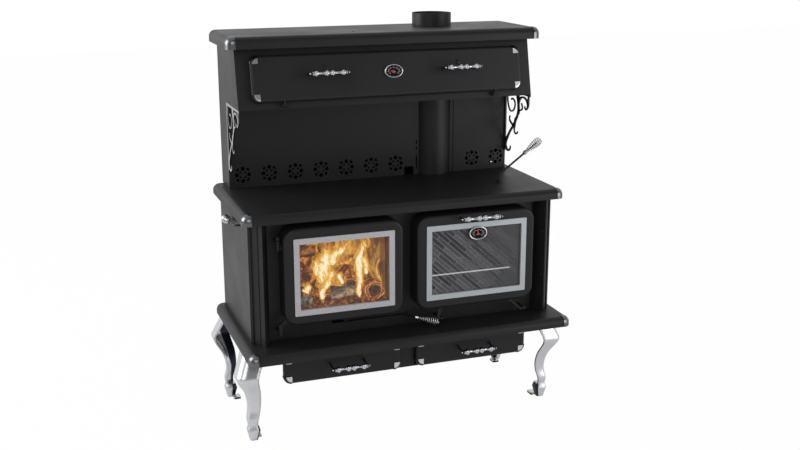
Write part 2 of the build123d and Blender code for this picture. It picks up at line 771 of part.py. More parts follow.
# ---------------------------------------------------------------- doors
def door_pieces(frame, trim):
    """Frame, glass, trim and gasket of a door, all with its window."""
    x0, x1, z0, z1 = frame
    shell = facing_box(x0, x1, z0, z1, door_front, door_back, door_corner_radius, door_edge_radius)
    wx0, wx1, wz0, wz1 = inset(frame, door_wall)
    hollow = facing_box(wx0, wx1, wz0, wz1, door_front + door_plate, door_back + 1,
                        door_corner_radius - door_wall, door_edge_radius - door_wall)
    shell -= hollow
    rim_x0, rim_x1, rim_z0, rim_z1 = inset(frame, door_wall + gasket_width + 4)
    seat_front = door_back - 8
    seat = block(wx0, wx1, seat_front, seat_front + 3, wz0, wz1)
    seat = fillet(seat.edges().filter_by(Axis.Y), door_corner_radius - door_wall)
    seat -= fillet(block(rim_x0, rim_x1, seat_front - 5, seat_front + 9, rim_z0, rim_z1).edges().filter_by(Axis.Y),
                   door_corner_radius - door_wall - 12)
    shell += seat
    tx0, tx1, tz0, tz1 = trim
    collar = 4.0
    gx0, gx1, gz0, gz1 = inset(trim, trim_width)
    window = block(gx0 - collar, gx1 + collar, door_front - 5, door_front + door_plate + 5,
                   gz0 - collar, gz1 + collar)
    shell -= window
    plate_back = door_front + door_plate
    glass = block(gx0 - glass_overlap, gx1 + glass_overlap, plate_back, plate_back + glass_thickness,
                  gz0 - glass_overlap, gz1 + glass_overlap)
    trim_ring = block(tx0, tx1, door_front - trim_proud, door_front, tz0, tz1)
    trim_ring = fillet(trim_ring.edges().filter_by(Axis.Y), 4)
    c = collar - cap_gap
    trim_ring += block(gx0 - c, gx1 + c, door_front, plate_back, gz0 - c, gz1 + c)
    trim_ring -= fillet(block(gx0, gx1, door_front - 9, plate_back + 1, gz0, gz1).edges().filter_by(Axis.Y), 3)
    gasket_x = inset(frame, door_wall + 1)
    outer = block(gasket_x[0], gasket_x[1], seat_front + 3, face_front - gasket_gap, gasket_x[2], gasket_x[3])
    outer = fillet(outer.edges().filter_by(Axis.Y), door_corner_radius - door_wall - 1)
    hole = inset(frame, door_wall + 1 + gasket_width)
    cut = block(hole[0], hole[1], seat_front, face_front + 1, hole[2], hole[3])
    cut = fillet(cut.edges().filter_by(Axis.Y), door_corner_radius - door_wall - 1 - gasket_width)
    return shell, glass, trim_ring, outer - cut


def make_fire_door():
    """The fire door with its hinge arms, and the fixed pins and lugs."""
    frame = fire_frame
    trim = (fire_trim_left, fire_trim_left + fire_trim_width, trim_bottom, trim_bottom + trim_height)
    shell, glass, trim_ring, gasket = door_pieces(frame, trim)
    add("fire_door_frame", shell)
    add("fire_door_glass", glass)
    add("fire_door_trim", trim_ring)
    add("fire_door_gasket", gasket)
    x, y = fire_axis_x, fire_axis_y
    outline = facing_box(*frame, door_front, door_back, door_corner_radius, door_edge_radius)
    top_high = frame[3] - knuckle_inset
    low_high = frame[2] + 3.5
    for high, reach in ((top_high, -1), (low_high, 1)):
        low = high - knuckle_height
        if reach < 0:
            arm = block(x, frame[0], y - 5, y + 5, low, high - 6)
        else:
            slant = Polyline((x, high - 16), (frame[0] + 20, high + 3), (frame[0] + 20, high + 30), (x, high),
                             close=True)
            arm = Pos(0, y + 5, 0) * extrude(Plane.XZ * make_face(slant), 10) - outline
        knuckle = bar((x, y, low), (x, y, high), knuckle_radius) + arm
        knuckle -= bar((x, y, low - 5), (x, y, high), pin_radius + running_gap)
        add("fire_door_hinges", knuckle)
        lug_low = high + face_gap if reach < 0 else low - face_gap - lug_thickness
        lug_high = lug_low + lug_thickness
        lug = block(x - 7, x + 7, y, face_front, lug_low, lug_high)
        lug += bar((x, y, lug_low), (x, y, lug_high), knuckle_radius)
        lug -= bar((x, y, lug_low - 5), (x, y, lug_high + 5), pin_radius + running_gap)
        add("hinge_lugs", lug)
        pin_low = low - 6 if reach < 0 else lug_low
        pin_high = lug_high + 6 if reach < 0 else high - 1
        pin = bar((x, y, pin_low), (x, y, pin_high), pin_radius)
        if reach < 0:
            pin += ball((x, y, lug_high + 8), ball_radius) - block(x - 20, x + 20, y - 20, y + 20,
                                                                   lug_low - 9, lug_high)
        else:
            pin += bar((x, y, lug_low - 10), (x, y, lug_low), knuckle_radius * 0.9)
        add("hinge_lugs", pin)


def make_oven_door():
    """The oven door with its hinge arms, handle and thermometer, and the fixed lugs."""
    frame = oven_frame
    trim = (oven_trim_left, oven_trim_left + oven_trim_width, trim_bottom, trim_bottom + trim_height)
    shell, glass, trim_ring, gasket = door_pieces(frame, trim)
    add("oven_door_frame", shell)
    add("oven_door_glass", glass)
    add("oven_door_trim", trim_ring)
    add("oven_door_gasket", gasket)
    y = oven_axis_y
    z = frame[2] - oven_axis_drop
    radius = 7.0
    for side, x_top, reach in ((-1, frame[0] + oven_arm_inset[0], oven_pin_reach[0]),
                               (1, frame[1] - oven_arm_inset[1], oven_pin_reach[1])):
        x_arm = x_top + side * reach
        outline = Polyline((x_top - 8, frame[2]), (x_top + 8, frame[2]), (x_arm + 6, z), (x_arm - 6, z), close=True)
        strap = Pos(0, y + oven_arm_half, 0) * extrude(Plane.XZ * make_face(outline), 2 * oven_arm_half)
        eye = bar((x_arm - 6, y, z), (x_arm + 6, y, z), radius)
        lug_x0 = x_arm + 6 + oven_lug_gap
        lug_x1 = lug_x0 + 12
        pin = bar((x_arm, y, z), (lug_x1 + 4, y, z), pin_radius)
        add("oven_door_hinges", strap + eye + pin)
        lug = block(lug_x0, lug_x1, y, face_front, z - 5, z + 5)
        lug += bar((lug_x0, y, z), (lug_x1, y, z), radius)
        lug -= bar((lug_x0 - 1, y, z), (lug_x1 + 1, y, z), pin_radius + running_gap)
        add("hinge_lugs", lug)
    centre = oven_trim_left + oven_trim_width / 2
    handle_z = frame[3] - 9.5
    add("oven_door_handle", *spindle_set(oven_handle_length, door_front, oven_handle_stand_off, centre, handle_z))
    glass_top = trim_bottom + trim_height - trim_width
    dial_z = glass_top - dial_height / 2 - dial_drop
    stem = bar((centre, door_front + door_plate, dial_z), (centre, door_front - trim_proud - 1, dial_z), 12)
    add("oven_dial", Pos(0, door_front - trim_proud, 0) * dial(centre, dial_z, 7) + stem)


oven_handle_length = 142.0
oven_handle_stand_off = 46.0
dial_width = 74.0
dial_height = 52.0
dial_drop = -6.0


def dial(x, z, depth):
    """An oval thermometer that stands forward of y = 0."""
    case = Plane.XZ * extrude(Ellipse(dial_width / 2, dial_height / 2), depth)
    bezel = Plane.XZ * extrude(Ellipse(dial_width / 2 - 5, dial_height / 2 - 5), depth + 1)
    recess = Pos(0, -depth + 1.5, 0) * bezel
    hub = Pos(0, -depth + 1.5, 0) * (Plane.XZ * extrude(Circle(3), 2.5))
    return Pos(x, 0, z) * (case - recess + hub)


# ---------------------------------------------------------------- controls
lever_y = -86.0
lever_z = 823.0
lever_out = 21.0
lever_slope = -6.0
lever_reach = 108.0
damper_x = body_half_width - 160.0
damper_y = -53.0
damper_rise = 29.0
damper_boss = 9.0
damper_reach = 134.0
damper_slope = 36.0


def make_side_lever(spring):
    """The lever at the left side: a rod out of the panel, bent back into a coil handle."""
    x_out = -body_half_width - lever_out
    r = control_rod_radius
    slope = math.radians(lever_slope)
    direction = Vector(0, math.cos(slope), math.sin(slope))
    bend = 12.0
    straight = lever_reach
    end = Vector(x_out, lever_y, lever_z) + direction * straight
    path = FilletPolyline((-body_half_width + 22, lever_y, lever_z), (x_out, lever_y, lever_z),
                          tuple(end), radius=bend)
    rod = sweep(Plane(origin=path @ 0, z_dir=path % 0) * Circle(r), path=path)
    x_collar = -body_half_width + side_sheet + face_gap
    rod += bar((x_collar, lever_y, lever_z), (x_collar + 4, lever_y, lever_z), 2 * r)
    rod += block(-body_half_width + 12, -body_half_width + 18, lever_y - 8, lever_y + 8, lever_z - 40, lever_z)
    core, collar, coil = coil_grip(end, direction, spring)
    add("side_lever", rod + core)
    add("side_lever_handle", collar, coil)


def make_damper(spring):
    """The damper: bent rod with its flap below the cook top, and its coil handle."""
    x, y = damper_x, damper_y
    r = control_rod_radius
    slope = math.radians(damper_slope)
    direction = Vector(math.cos(slope), 0, math.sin(slope))
    knee = Vector(x, y, cook_top + damper_rise)
    end = knee + direction * damper_reach
    low = cook_top - slab_sheet - 42
    path = FilletPolyline((x, y, low), tuple(knee), tuple(end), radius=14)
    rod = sweep(Plane(origin=path @ 0, z_dir=path % 0) * Circle(r), path=path)
    collar_z = cook_under - face_gap
    rod += bar((x, y, collar_z - 5), (x, y, collar_z), 2 * r)
    rod += block(x - 1.5, x + 1.5, y - 45, y + 45, low, low + 30)
    core, collar, coil = coil_grip(end, direction, spring)
    add("damper_rod", rod + core)
    add("damper_handle", collar, coil)


def make_air_shutter(spring):
    """The sliding air shutter with its lip, knob, rod and coil handle."""
    web_front = face_back + face_gap
    web = block(shutter_left, shutter_right, web_front, web_front + shutter_sheet,
                slot_bottom - 3, slot_bottom + slot_height + 3)
    lip_left = shutter_left + 22
    lip_right = slot_right - 6
    lip_low = slot_bottom + 1
    lip = block(lip_left, lip_right, face_front - 9, web_front, lip_low, lip_low + 3)
    knob = bar((lip_left + 5, face_front - 9, lip_low + 1.5), (lip_left + 5, face_front - 17, lip_low + 1.5), 4.0)
    start = Vector(lip_right - 5, face_front - 5, lip_low + 1.5)
    direction = Vector(*shutter_grip_direction).normalized()
    end = Vector(slot_right + shutter_rod_reach[0], face_front - shutter_rod_reach[1], lip_low + 2)
    r = control_rod_radius * 0.75
    rod = bar(tuple(start), tuple(end), r) + ball(tuple(end), r)
    core, collar, coil = coil_grip(end, direction, spring)
    add("air_shutter", web + lip + knob + rod + core)
    add("air_shutter_handle", collar, coil)


shutter_rod_reach = (16.0, 47.5)
shutter_grip_direction = (0.85, -0.51, -0.14)


# ---------------------------------------------------------------- top
def make_cook_top():
    """The cook top with its flue hole and damper boss, and its corner caps."""
    plate = folded_slab(cook_half_width, cook_front, cook_back, cook_bottom, cook_top, slab_sheet)
    plate -= bar((flue_x, flue_y, cook_under - 5), (flue_x, flue_y, cook_top + 5), flue_radius + face_gap)
    plate += bar((damper_x, damper_y, cook_top - 1), (damper_x, damper_y, cook_top + damper_boss), 11)
    plate -= bar((damper_x, damper_y, cook_under - 5), (damper_x, damper_y, cook_top + 2 * damper_boss),
                 control_rod_radius + running_gap)
    add("cook_top", plate)
    add("corner_caps", *slab_caps(cook_half_width, cook_front, cook_back, cook_bottom, cook_top))


strip_slots = ((25.0, 77.0), (102.0, 115.0), (124.0, 140.0))
rosette_pitch = 104.9
rosette_start = -cabinet_half_width + 54.0
rosette_count = 7
right_rosettes = (cabinet_half_width - 152.5, cabinet_half_width - 43.3)
rosette_rise = 51.0
shroud_lap = 30.0


def rosette():
    """The holes of one pierced rosette: four petals, four round lobes and four hearts at its corners."""
    holes = Sketch()
    petal = make_face(Polyline((9, 0), (12.5, 4.8), (20, 0), (12.5, -4.8), close=True))
    heart = make_face(Polyline((24, 0), (25, 7.4), (31.5, 6), (34.5, 0), (31.5, -6), (25, -7.4), close=True))
    for quarter in range(4):
        turn = Rot(0, 0, 90 * quarter)
        holes += turn * Pos(24, 0) * Circle(7.7)
        holes += turn * Rot(0, 0, 45) * heart
        holes += turn * Rot(0, 0, 45) * petal
    return holes


def pierce(panel, places):
    """Cut a row of rosettes through a splash panel."""
    pattern = rosette()
    for x in places:
        stand = Plane(origin=(x, splash_front - 5, cook_top + rosette_rise), z_dir=(0, -1, 0), x_dir=(1, 0, 0))
        panel -= extrude(stand * pattern, splash_sheet + 10, dir=(0, 1, 0))
    return panel


def make_splash():
    """Splash panels, the slotted strip beside the flue, the rear shroud and the flue."""
    z0, z1 = cook_top, cabinet_bottom
    y0, y1 = splash_front, splash_front + splash_sheet
    inner = cabinet_half_width - splash_sheet
    panel = block(-inner, left_splash_end, y0, y1, z0, z1)
    panel -= block(left_splash_end - 43, left_splash_end - 3, y0 - 5, y1 + 5, z0 - 5, z0 + 34)
    panel = pierce(panel, [rosette_start + rosette_pitch * i for i in range(rosette_count)])
    strip_end = left_splash_end + slotted_strip_width
    strip = block(left_splash_end - splash_sheet, strip_end, y1, y1 + splash_sheet, z0, z1)
    for low, high in strip_slots:
        middle = (left_splash_end + strip_end) / 2
        strip -= block(middle - 2.5, middle + 2.5, y1 - 5, y1 + 10, z0 + low, z0 + high)
    add("left_splash_panel", panel + strip)
    right = pierce(block(right_splash_start, inner, y0, y1, z0, z1), right_rosettes)
    right += block(right_splash_start - right_strip_width, right_splash_start + splash_sheet, y1,
                   y1 + splash_sheet, z0, z1)
    add("right_splash_panel", right)
    back = cabinet_back - splash_sheet
    for side in (-1, 1):
        x_out = side * cabinet_half_width
        add("rear_shroud", block(x_out - side * splash_sheet, x_out, y0, cabinet_back, z0, z1))
    rear = block(-inner, inner, back, cabinet_back, z0, z1)
    rear += block(-inner, inner, cook_back + face_gap, cabinet_back, z0 - shroud_lap, z0 + 1)
    add("rear_shroud", rear)

    collar_seat = shelf_top - 11
    seat_height = 4.0
    add("flue_pipe", ring((flue_x, flue_y, cook_under + face_gap), (flue_x, flue_y, collar_seat),
                          flue_radius, flue_radius - flue_wall))
    spigot = flue_radius - flue_wall - face_gap
    axis_point = (flue_x, flue_y)
    collar = ring((*axis_point, collar_seat), (*axis_point, collar_seat + seat_height),
                  collar_bore_radius + collar_wall, spigot - flue_wall)
    collar += ring((*axis_point, collar_seat - 22), (*axis_point, collar_seat + 1), spigot, spigot - flue_wall)
    collar += ring((*axis_point, collar_seat + seat_height), (*axis_point, collar_top),
                   collar_bore_radius + collar_wall, collar_bore_radius)
    add("flue_collar", collar)


def lean(s, n):
    """A point of the cabinet's slanted front: up the face by s and out of it by n."""
    a = math.radians(cabinet_lean)
    return (cabinet_front + s * math.sin(a) - n * math.cos(a), cabinet_bottom + s * math.cos(a) + n * math.sin(a))


def lean_plane(x=0.0, s=0.0, n=0.0):
    """A frame on the slanted front: X along the stove, Z up the face, -Y out of it."""
    y, z = lean(s, n)
    return Location((x, y, z), (-cabinet_lean, 0, 0))


def make_cabinet():
    """The warming cabinet's shell, with its mouth and the two holes that the flue passes."""
    high = shelf_under
    a = math.radians(cabinet_lean)
    slant = (high - cabinet_bottom) * math.tan(a)
    t = cabinet_sheet
    bevel = slab_edge_radius
    outline = Polyline((cabinet_front, cabinet_bottom), (cabinet_back, cabinet_bottom),
                       (cabinet_back, high - bevel), (cabinet_back - bevel, high), (cabinet_front + slant, high),
                       close=True)
    profile = Plane.YZ * make_face(outline)
    shell = Pos(-cabinet_half_width, 0, 0) * extrude(profile, 2 * cabinet_half_width)
    inner_front = cabinet_front + t / math.cos(a)
    inside = Polyline((inner_front + t * math.tan(a), cabinet_bottom + t), (cabinet_back - t, cabinet_bottom + t),
                      (cabinet_back - t, high - bevel - t), (cabinet_back - bevel - 2 * t, high + t),
                      (inner_front + slant + t * math.tan(a), high + t), close=True)
    hollow = Plane.YZ * make_face(inside)
    shell -= Pos(-cabinet_half_width + t, 0, 0) * extrude(hollow, 2 * (cabinet_half_width - t))
    mouth_half = warming_door_half_width - 20
    mouth_low = warming_door_foot + 12
    mouth_high = warming_door_foot + warming_door_height - 12
    mouth = block(-mouth_half, mouth_half, -6, 12, mouth_low, mouth_high)
    shell -= lean_plane() * mouth
    shell -= bar((flue_x, flue_y, cabinet_bottom - 5), (flue_x, flue_y, cabinet_bottom + 10),
                 flue_radius + face_gap)
    shell -= bar((flue_x, flue_y, high - 30), (flue_x, flue_y, high + 5), collar_bore_radius + collar_wall + face_gap)
    for point, outward in cabinet_screws():
        shell -= screw_hole(point, outward)
        add("panel_screws", screw(point, outward))
    add("warming_cabinet", shell)
    shelf = folded_slab(shelf_half_width, shelf_front, shelf_back, shelf_bottom, shelf_top, shelf_sheet)
    shelf -= bar((flue_x, flue_y, shelf_under - 5), (flue_x, flue_y, shelf_top + 5),
                 collar_bore_radius + collar_wall + face_gap)
    up = Vector(0, 0, 1)
    for x, y in shelf_screws:
        shelf -= screw_hole((x, y, shelf_top), up)
        add("panel_screws", screw((x, y, shelf_top), up))
    add("top_shelf", shelf)
    add("corner_caps", *slab_caps(shelf_half_width, shelf_front, shelf_back, shelf_bottom, shelf_top))


shelf_screws = ((-125.0, 45.0), (116.0, 5.0), (333.0, 124.0))
side_screws = ((6.0, 98.0), (133.0, 12.0), (22.0, 13.0))


def cabinet_screws():
    """The small screws on both ends of the warming cabinet."""
    places = []
    for side in (-1, 1):
        for y, rise in side_screws:
            places.append(((side * cabinet_half_width, y, cabinet_bottom + rise), Vector(side, 0, 0)))
    return places


warming_handle_length = 128.0
warming_handle_places = (-264.0, 264.0)
warming_handle_height = 96.0
warming_handle_stand_off = 57.0
warming_hinge_places = (-425.0, 417.0)


def make_warming_door():
    """The warming door with caps, handles, thermometer and hinges, all on the slanted front."""
    w = warming_door_half_width
    h = warming_door_height
    t = warming_door_thickness
    gap = 0.5
    seat = lean_plane(s=warming_door_foot, n=gap)
    pan = facing_box(-w, w, 0, h, -t, 0, drawer_corner_radius, drawer_edge_radius)
    pan -= facing_box(-w + 2, w - 2, 2, h - 2, -t + 2, 1, drawer_corner_radius - 2, drawer_edge_radius - 2)
    caps = facing_caps(-w, w, 0, h, -t, 0, drawer_corner_radius, drawer_edge_radius, drawer_cap_span)
    add("warming_door_corners", *[seat * cap for cap in caps])
    handles = []
    for x in warming_handle_places:
        handles += spindle_set(warming_handle_length, -t, warming_handle_stand_off, fittings_x + x,
                               warming_handle_height)
    add("warming_door_handles", *[seat * piece for piece in handles])
    gauge = Pos(0, -t, 0) * dial(fittings_x, warming_handle_height - 3, 6)
    add("warming_dial", seat * gauge)
    s_axis = warming_door_foot - warming_hinge_offset
    n_axis = gap + t / 2
    hinge_frame = lean_plane()
    r = 6.0
    pin_r = 2.5
    door_solids = [seat * pan]
    half = 3.0
    blade_foot = -gap - t
    outline = Polyline((blade_foot - 2, warming_door_foot + 15), (blade_foot + 4, warming_door_foot + 15),
                       (-n_axis + r, s_axis), (-n_axis - r, s_axis), close=True)
    solid_pan = Pos(0, -gap, warming_door_foot) * facing_box(-w, w, 0, h, -t, 0, drawer_corner_radius,
                                                             drawer_edge_radius)
    for place in warming_hinge_places:
        x = fittings_x + place
        tab = Pos(x - half, 0, 0) * extrude(Plane.YZ * make_face(outline), 2 * half)
        tab += bar((x - half, -n_axis, s_axis), (x + half, -n_axis, s_axis), r)
        tab -= bar((x - 20, -n_axis, s_axis), (x + 20, -n_axis, s_axis), pin_r + running_gap)
        tab -= solid_pan
        door_solids.append(hinge_frame * tab)
        for side in (-1, 1):
            x0 = x + side * (half + face_gap)
            x1 = x0 + side * 6
            lug = block(min(x0, x1), max(x0, x1), -n_axis, 0, s_axis - 5, s_axis + 5)
            lug += bar((x0, -n_axis, s_axis), (x1, -n_axis, s_axis), r)
            lug -= bar((x0 - side, -n_axis, s_axis), (x1 + side, -n_axis, s_axis), pin_r + running_gap)
            add("hinge_lugs", hinge_frame * lug)
        pin = bar((x - 11, -n_axis, s_axis), (x + 11, -n_axis, s_axis), pin_r)
        add("hinge_lugs", hinge_frame * pin)
    add("warming_door_panel", *door_solids)


# ---------------------------------------------------------------- scroll brackets
bracket_strokes = (
    # forward of the splash panel, below the cabinet, width: from end to end of each stroke
    ((29, 0, 7), (31, 72, 7), (46, 87, 6), (63, 89, 6), (81, 80, 6), (90, 65, 6), (91, 51, 6), (82, 41, 6),
     (68, 36, 6), (58, 40, 7)),
    ((115, -4, 27), (117, 20, 26), (121, 55, 13), (121, 85, 11), (111, 106, 12), (99, 123, 13), (93, 147, 9),
     (90, 166, 6), (107, 176, 6), (120, 166, 5)),
    ((99, 118, 14), (75, 152, 12), (48, 176, 10), (29, 200, 11), (13, 224, 14), (15, 246, 12), (38, 257, 9),
     (56, 238, 6)),
    ((92, 140, 10), (83, 144, 10), (58, 137, 8), (43, 125, 7), (46, 112, 6)),
    ((126, 92, 6), (130, 68, 8), (127, 51, 9), (135, 30, 9), (162, 18, 8), (189, 23, 8), (204, 39, 8),
     (206, 52, 8)),
    ((218, -2, 11), (212, 18, 11), (212, 42, 10), (205, 55, 9), (195, 63, 7), (180, 54, 5)),
    ((126, 72, 7), (142, 74, 7), (159, 62, 6), (156, 53, 6), (152, 46, 6)),
)
bracket_reach = 233.0
bracket_web = 9.0
bracket_wall_foot = 262.0


def stroke(points):
    """A smooth stroke of changing width through a few points, as a flat face."""
    centre = Spline(*[Vector(f, -d) for f, d, width in points])
    widths = [width for f, d, width in points]
    samples = 2 * len(points) - 1
    left, right = [], []
    for i in range(samples):
        u = i / (samples - 1)
        share = u * (len(points) - 1)
        low = min(int(share), len(points) - 2)
        width = widths[low] + (widths[low + 1] - widths[low]) * (share - low)
        direction = centre % u
        side = Vector(-direction.Y, direction.X).normalized() * (width / 2)
        left.append((centre @ u) + side)
        right.append((centre @ u) - side)
    tip = (centre @ 1) + (centre % 1) * (widths[-1] / 2)
    heel = (centre @ 0) - (centre % 0) * (widths[0] / 2)
    edges = [Spline(*left), ThreePointArc(left[-1], tip, right[-1]), Spline(*reversed(right)),
             ThreePointArc(right[0], heel, left[0])]
    return Face(Wire(edges))


def make_brackets():
    """The two scroll brackets that carry the cabinet's overhang."""
    reach = min(bracket_reach, splash_front - cabinet_front)
    top = Pos(reach / 2, -bracket_web / 2) * Rectangle(reach, bracket_web)
    wall = Pos(bracket_web / 2, -bracket_wall_foot / 2) * Rectangle(bracket_web, bracket_wall_foot)
    # The drawing's first axis runs to the front (-Y), its second one up (+Z).
    stand = Plane(origin=(-cabinet_half_width, splash_front, cabinet_bottom), x_dir=(0, -1, 0), z_dir=(-1, 0, 0))
    inward = (1, 0, 0)
    left = extrude(stand * top, bracket_sheet, dir=inward) + extrude(stand * wall, bracket_sheet, dir=inward)
    for points in bracket_strokes:
        left += extrude(stand * stroke(points), bracket_sheet, dir=inward)
    x = -cabinet_half_width
    left &= block(x, x + bracket_sheet, splash_front - reach, splash_front,
                  cabinet_bottom - bracket_wall_foot, cabinet_bottom)
    add("left_scroll_bracket", left)
    add("right_scroll_bracket", mirror(left, about=Plane.YZ))


# ---------------------------------------------------------------- the whole stove
def main():
    """Make every piece and write one file for each node."""
    bolt_holes = make_legs()
    make_base(bolt_holes)
    ledge_top = make_drawer_housing()
    make_drawer("left", -1, ledge_top)
    make_drawer("right", 1, ledge_top)
    make_body()
    make_firebox()
    make_oven()
    make_fire_door()
    make_oven_door()
    spring = coil_spring()
    make_side_lever(spring)
    make_damper(spring)
    make_air_shutter(spring)
    make_cook_top()
    make_splash()
    make_cabinet()
    make_warming_door()
    make_brackets()
    os.makedirs("parts", exist_ok=True)
    for node, shapes in parts.items():
        solids = [solid for shape in shapes for solid in shape.solids()]
        export_step(solids[0] if len(solids) == 1 else Compound(solids), f"parts/{node}.step")
    print(len(parts), "nodes written")


main()
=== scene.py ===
# %% [markdown]
# # A wood cookstove
# The real object is a welded sheet-steel range: a firebox on the left, an oven on the right, both behind
# glazed cast doors, with a warming cabinet over the cook top and drawers below, on four cast legs. The CAD
# frame already has every plate, leg, door and hinge, so this script gives those their finishes and adds
# what a turner, a dial maker and a fire would add: turned handles, dial faces and burning logs.
# %% Load the frame
import bpy
import math
from mathutils import Matrix, Vector, noise


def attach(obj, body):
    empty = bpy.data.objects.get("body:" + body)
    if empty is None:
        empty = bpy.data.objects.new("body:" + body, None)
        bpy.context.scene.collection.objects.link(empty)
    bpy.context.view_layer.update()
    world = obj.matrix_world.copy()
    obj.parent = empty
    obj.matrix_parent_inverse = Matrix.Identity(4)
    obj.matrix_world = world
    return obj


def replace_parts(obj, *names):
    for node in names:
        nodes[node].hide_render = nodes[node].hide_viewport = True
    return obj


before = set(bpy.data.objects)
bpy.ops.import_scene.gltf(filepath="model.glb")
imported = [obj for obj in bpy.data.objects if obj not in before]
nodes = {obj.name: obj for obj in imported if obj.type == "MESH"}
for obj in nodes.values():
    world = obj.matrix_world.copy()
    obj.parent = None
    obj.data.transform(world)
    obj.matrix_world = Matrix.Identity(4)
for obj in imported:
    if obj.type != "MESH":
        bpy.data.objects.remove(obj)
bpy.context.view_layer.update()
MM = 0.001
scene = bpy.context.scene

# %% [markdown]
# ## Helpers for node trees
# Short helpers add a node, set its plain sockets, join its links and hand back the socket that comes out,
# so that a finish reads like a formula.
# %% Node helpers
FLOAT, WHOLE = "NodeSocketFloat", "NodeSocketInt"
MATERIAL, GEOMETRY = "NodeSocketMaterial", "NodeSocketGeometry"


def wire(tree, made, inputs):
    """Set a node's inputs: plain values, or sockets to link from."""
    for key, value in inputs.items():
        if isinstance(value, bpy.types.NodeSocket):
            tree.links.new(value, made.inputs[key])
        else:
            made.inputs[key].default_value = value


def node(tree, kind, inputs=None, **settings):
    """Add a node with its settings and inputs."""
    made = tree.nodes.new(kind)
    for key, value in settings.items():
        setattr(made, key, value)
    wire(tree, made, inputs or {})
    return made


def new_tree(name, kind, inputs, outputs):
    """A node group with named sockets; returns it, what it is given and the node that takes its result."""
    tree = bpy.data.node_groups.new(name, kind)
    for way, rows in (("INPUT", inputs), ("OUTPUT", outputs)):
        for label, socket_type in rows:
            tree.interface.new_socket(label, in_out=way, socket_type=socket_type)
    return tree, tree.nodes.new("NodeGroupInput").outputs, tree.nodes.new("NodeGroupOutput")


def maths(tree, operation, *values, clamp=False):
    """One sum, product or comparison."""
    made = node(tree, "ShaderNodeMath", dict(enumerate(values)), operation=operation, use_clamp=clamp)
    return made.outputs[0]


def vector_maths(tree, operation, first, second):
    """One sum or product of vectors."""
    return node(tree, "ShaderNodeVectorMath", {0: first, 1: second}, operation=operation).outputs[0]


def remap(tree, value, low, high, to_low=0.0, to_high=1.0, curve="LINEAR"):
    """A value moved from one range to another, and held inside it."""
    sockets = {"Value": value, "From Min": low, "From Max": high, "To Min": to_low, "To Max": to_high}
    return node(tree, "ShaderNodeMapRange", sockets, interpolation_type=curve).outputs["Result"]


def mix(tree, share, first, second):
    """Two colours mixed by a share; a colour is three numbers or a socket."""
    a, b = (c if isinstance(c, bpy.types.NodeSocket) else (*c, 1) for c in (first, second))
    return node(tree, "ShaderNodeMix", {0: share, "A": a, "B": b}, data_type="RGBA").outputs["Result"]


def ramp(tree, value, *stops):
    """A colour ramp through (position, colour) stops."""
    made = node(tree, "ShaderNodeValToRGB", {"Fac": value})
    points = made.color_ramp.elements
    for index, (position, colour) in ((0, stops[0]), (1, stops[-1])):
        points[index].position = position
        points[index].color = (*colour, 1)
    for position, colour in stops[1:-1]:
        points.new(position).color = (*colour, 1)
    return made.outputs["Color"]


def clouds(tree, vector, scale, detail=2.0, roughness=0.5, distortion=0.0):
    """Soft noise, from 0 to 1."""
    sockets = {"Vector": vector, "Scale": scale, "Detail": detail, "Roughness": roughness,
               "Distortion": distortion}
    return node(tree, "ShaderNodeTexNoise", sockets).outputs["Fac"]


def coordinates(tree):
    """Object coordinates and the way the face looks, both in the piece's own frame."""
    made = node(tree, "ShaderNodeTexCoord")
    return made.outputs["Object"], made.outputs["Normal"]


def xyz(tree, vector):
    """A vector's three numbers, by letter."""
    return node(tree, "ShaderNodeSeparateXYZ", {0: vector}).outputs


def grey(value):
    """A colour with no hue."""
    return (value, value, value)


print("node helpers ready")

# %% [markdown]
# ## Surface grain
# Every finish is one material around one Principled shader. Stove paint is sprayed and baked: it dries with
# a fine tooth, and handling leaves faint broad patches that shine a little more or less. Both come from
# noise at two scales. The group returns a height for a Bump node, a slow tone for colour and roughness, and
# flecks for sparkle. It reads Object coordinates, because each piece's object sits at the origin and its
# place is in its mesh, so a grain never slides when a door opens.
# %% Grain group
grain_group, given, result = new_tree(
    "paint_grain", "ShaderNodeTree", [("Grain size", FLOAT), ("Patch size", FLOAT)],
    [("Height", FLOAT), ("Tone", FLOAT), ("Fleck", FLOAT)])
place = coordinates(grain_group)[0]
fine = clouds(grain_group, place, maths(grain_group, "DIVIDE", 1.0, given["Grain size"]), 2.0, 0.6)
slow = clouds(grain_group, place, maths(grain_group, "DIVIDE", 1.0, given["Patch size"]), 3.0, 0.55)
wire(grain_group, result, {"Height": fine, "Tone": slow, "Fleck": remap(grain_group, fine, 0.35, 0.68)})


def new_material(name, colour, roughness, metallic=0.0, specular=0.5):
    """A material with one Principled shader; returns it, its tree and the shader."""
    made = bpy.data.materials.new(name)
    made.use_nodes = True
    shader = made.node_tree.nodes["Principled BSDF"]
    wire(made.node_tree, shader, {"Base Color": (*colour, 1), "Roughness": roughness, "Metallic": metallic,
                                  "Specular IOR Level": specular})
    return made, made.node_tree, shader


def relief(tree, shader, height, strength, distance):
    """Bump from a height."""
    bump = node(tree, "ShaderNodeBump", {"Height": height, "Strength": strength, "Distance": distance})
    wire(tree, shader, {"Normal": bump.outputs["Normal"]})


def glow(tree, shader, colour, strength):
    """Light of its own."""
    wire(tree, shader, {"Emission Color": colour, "Emission Strength": strength})


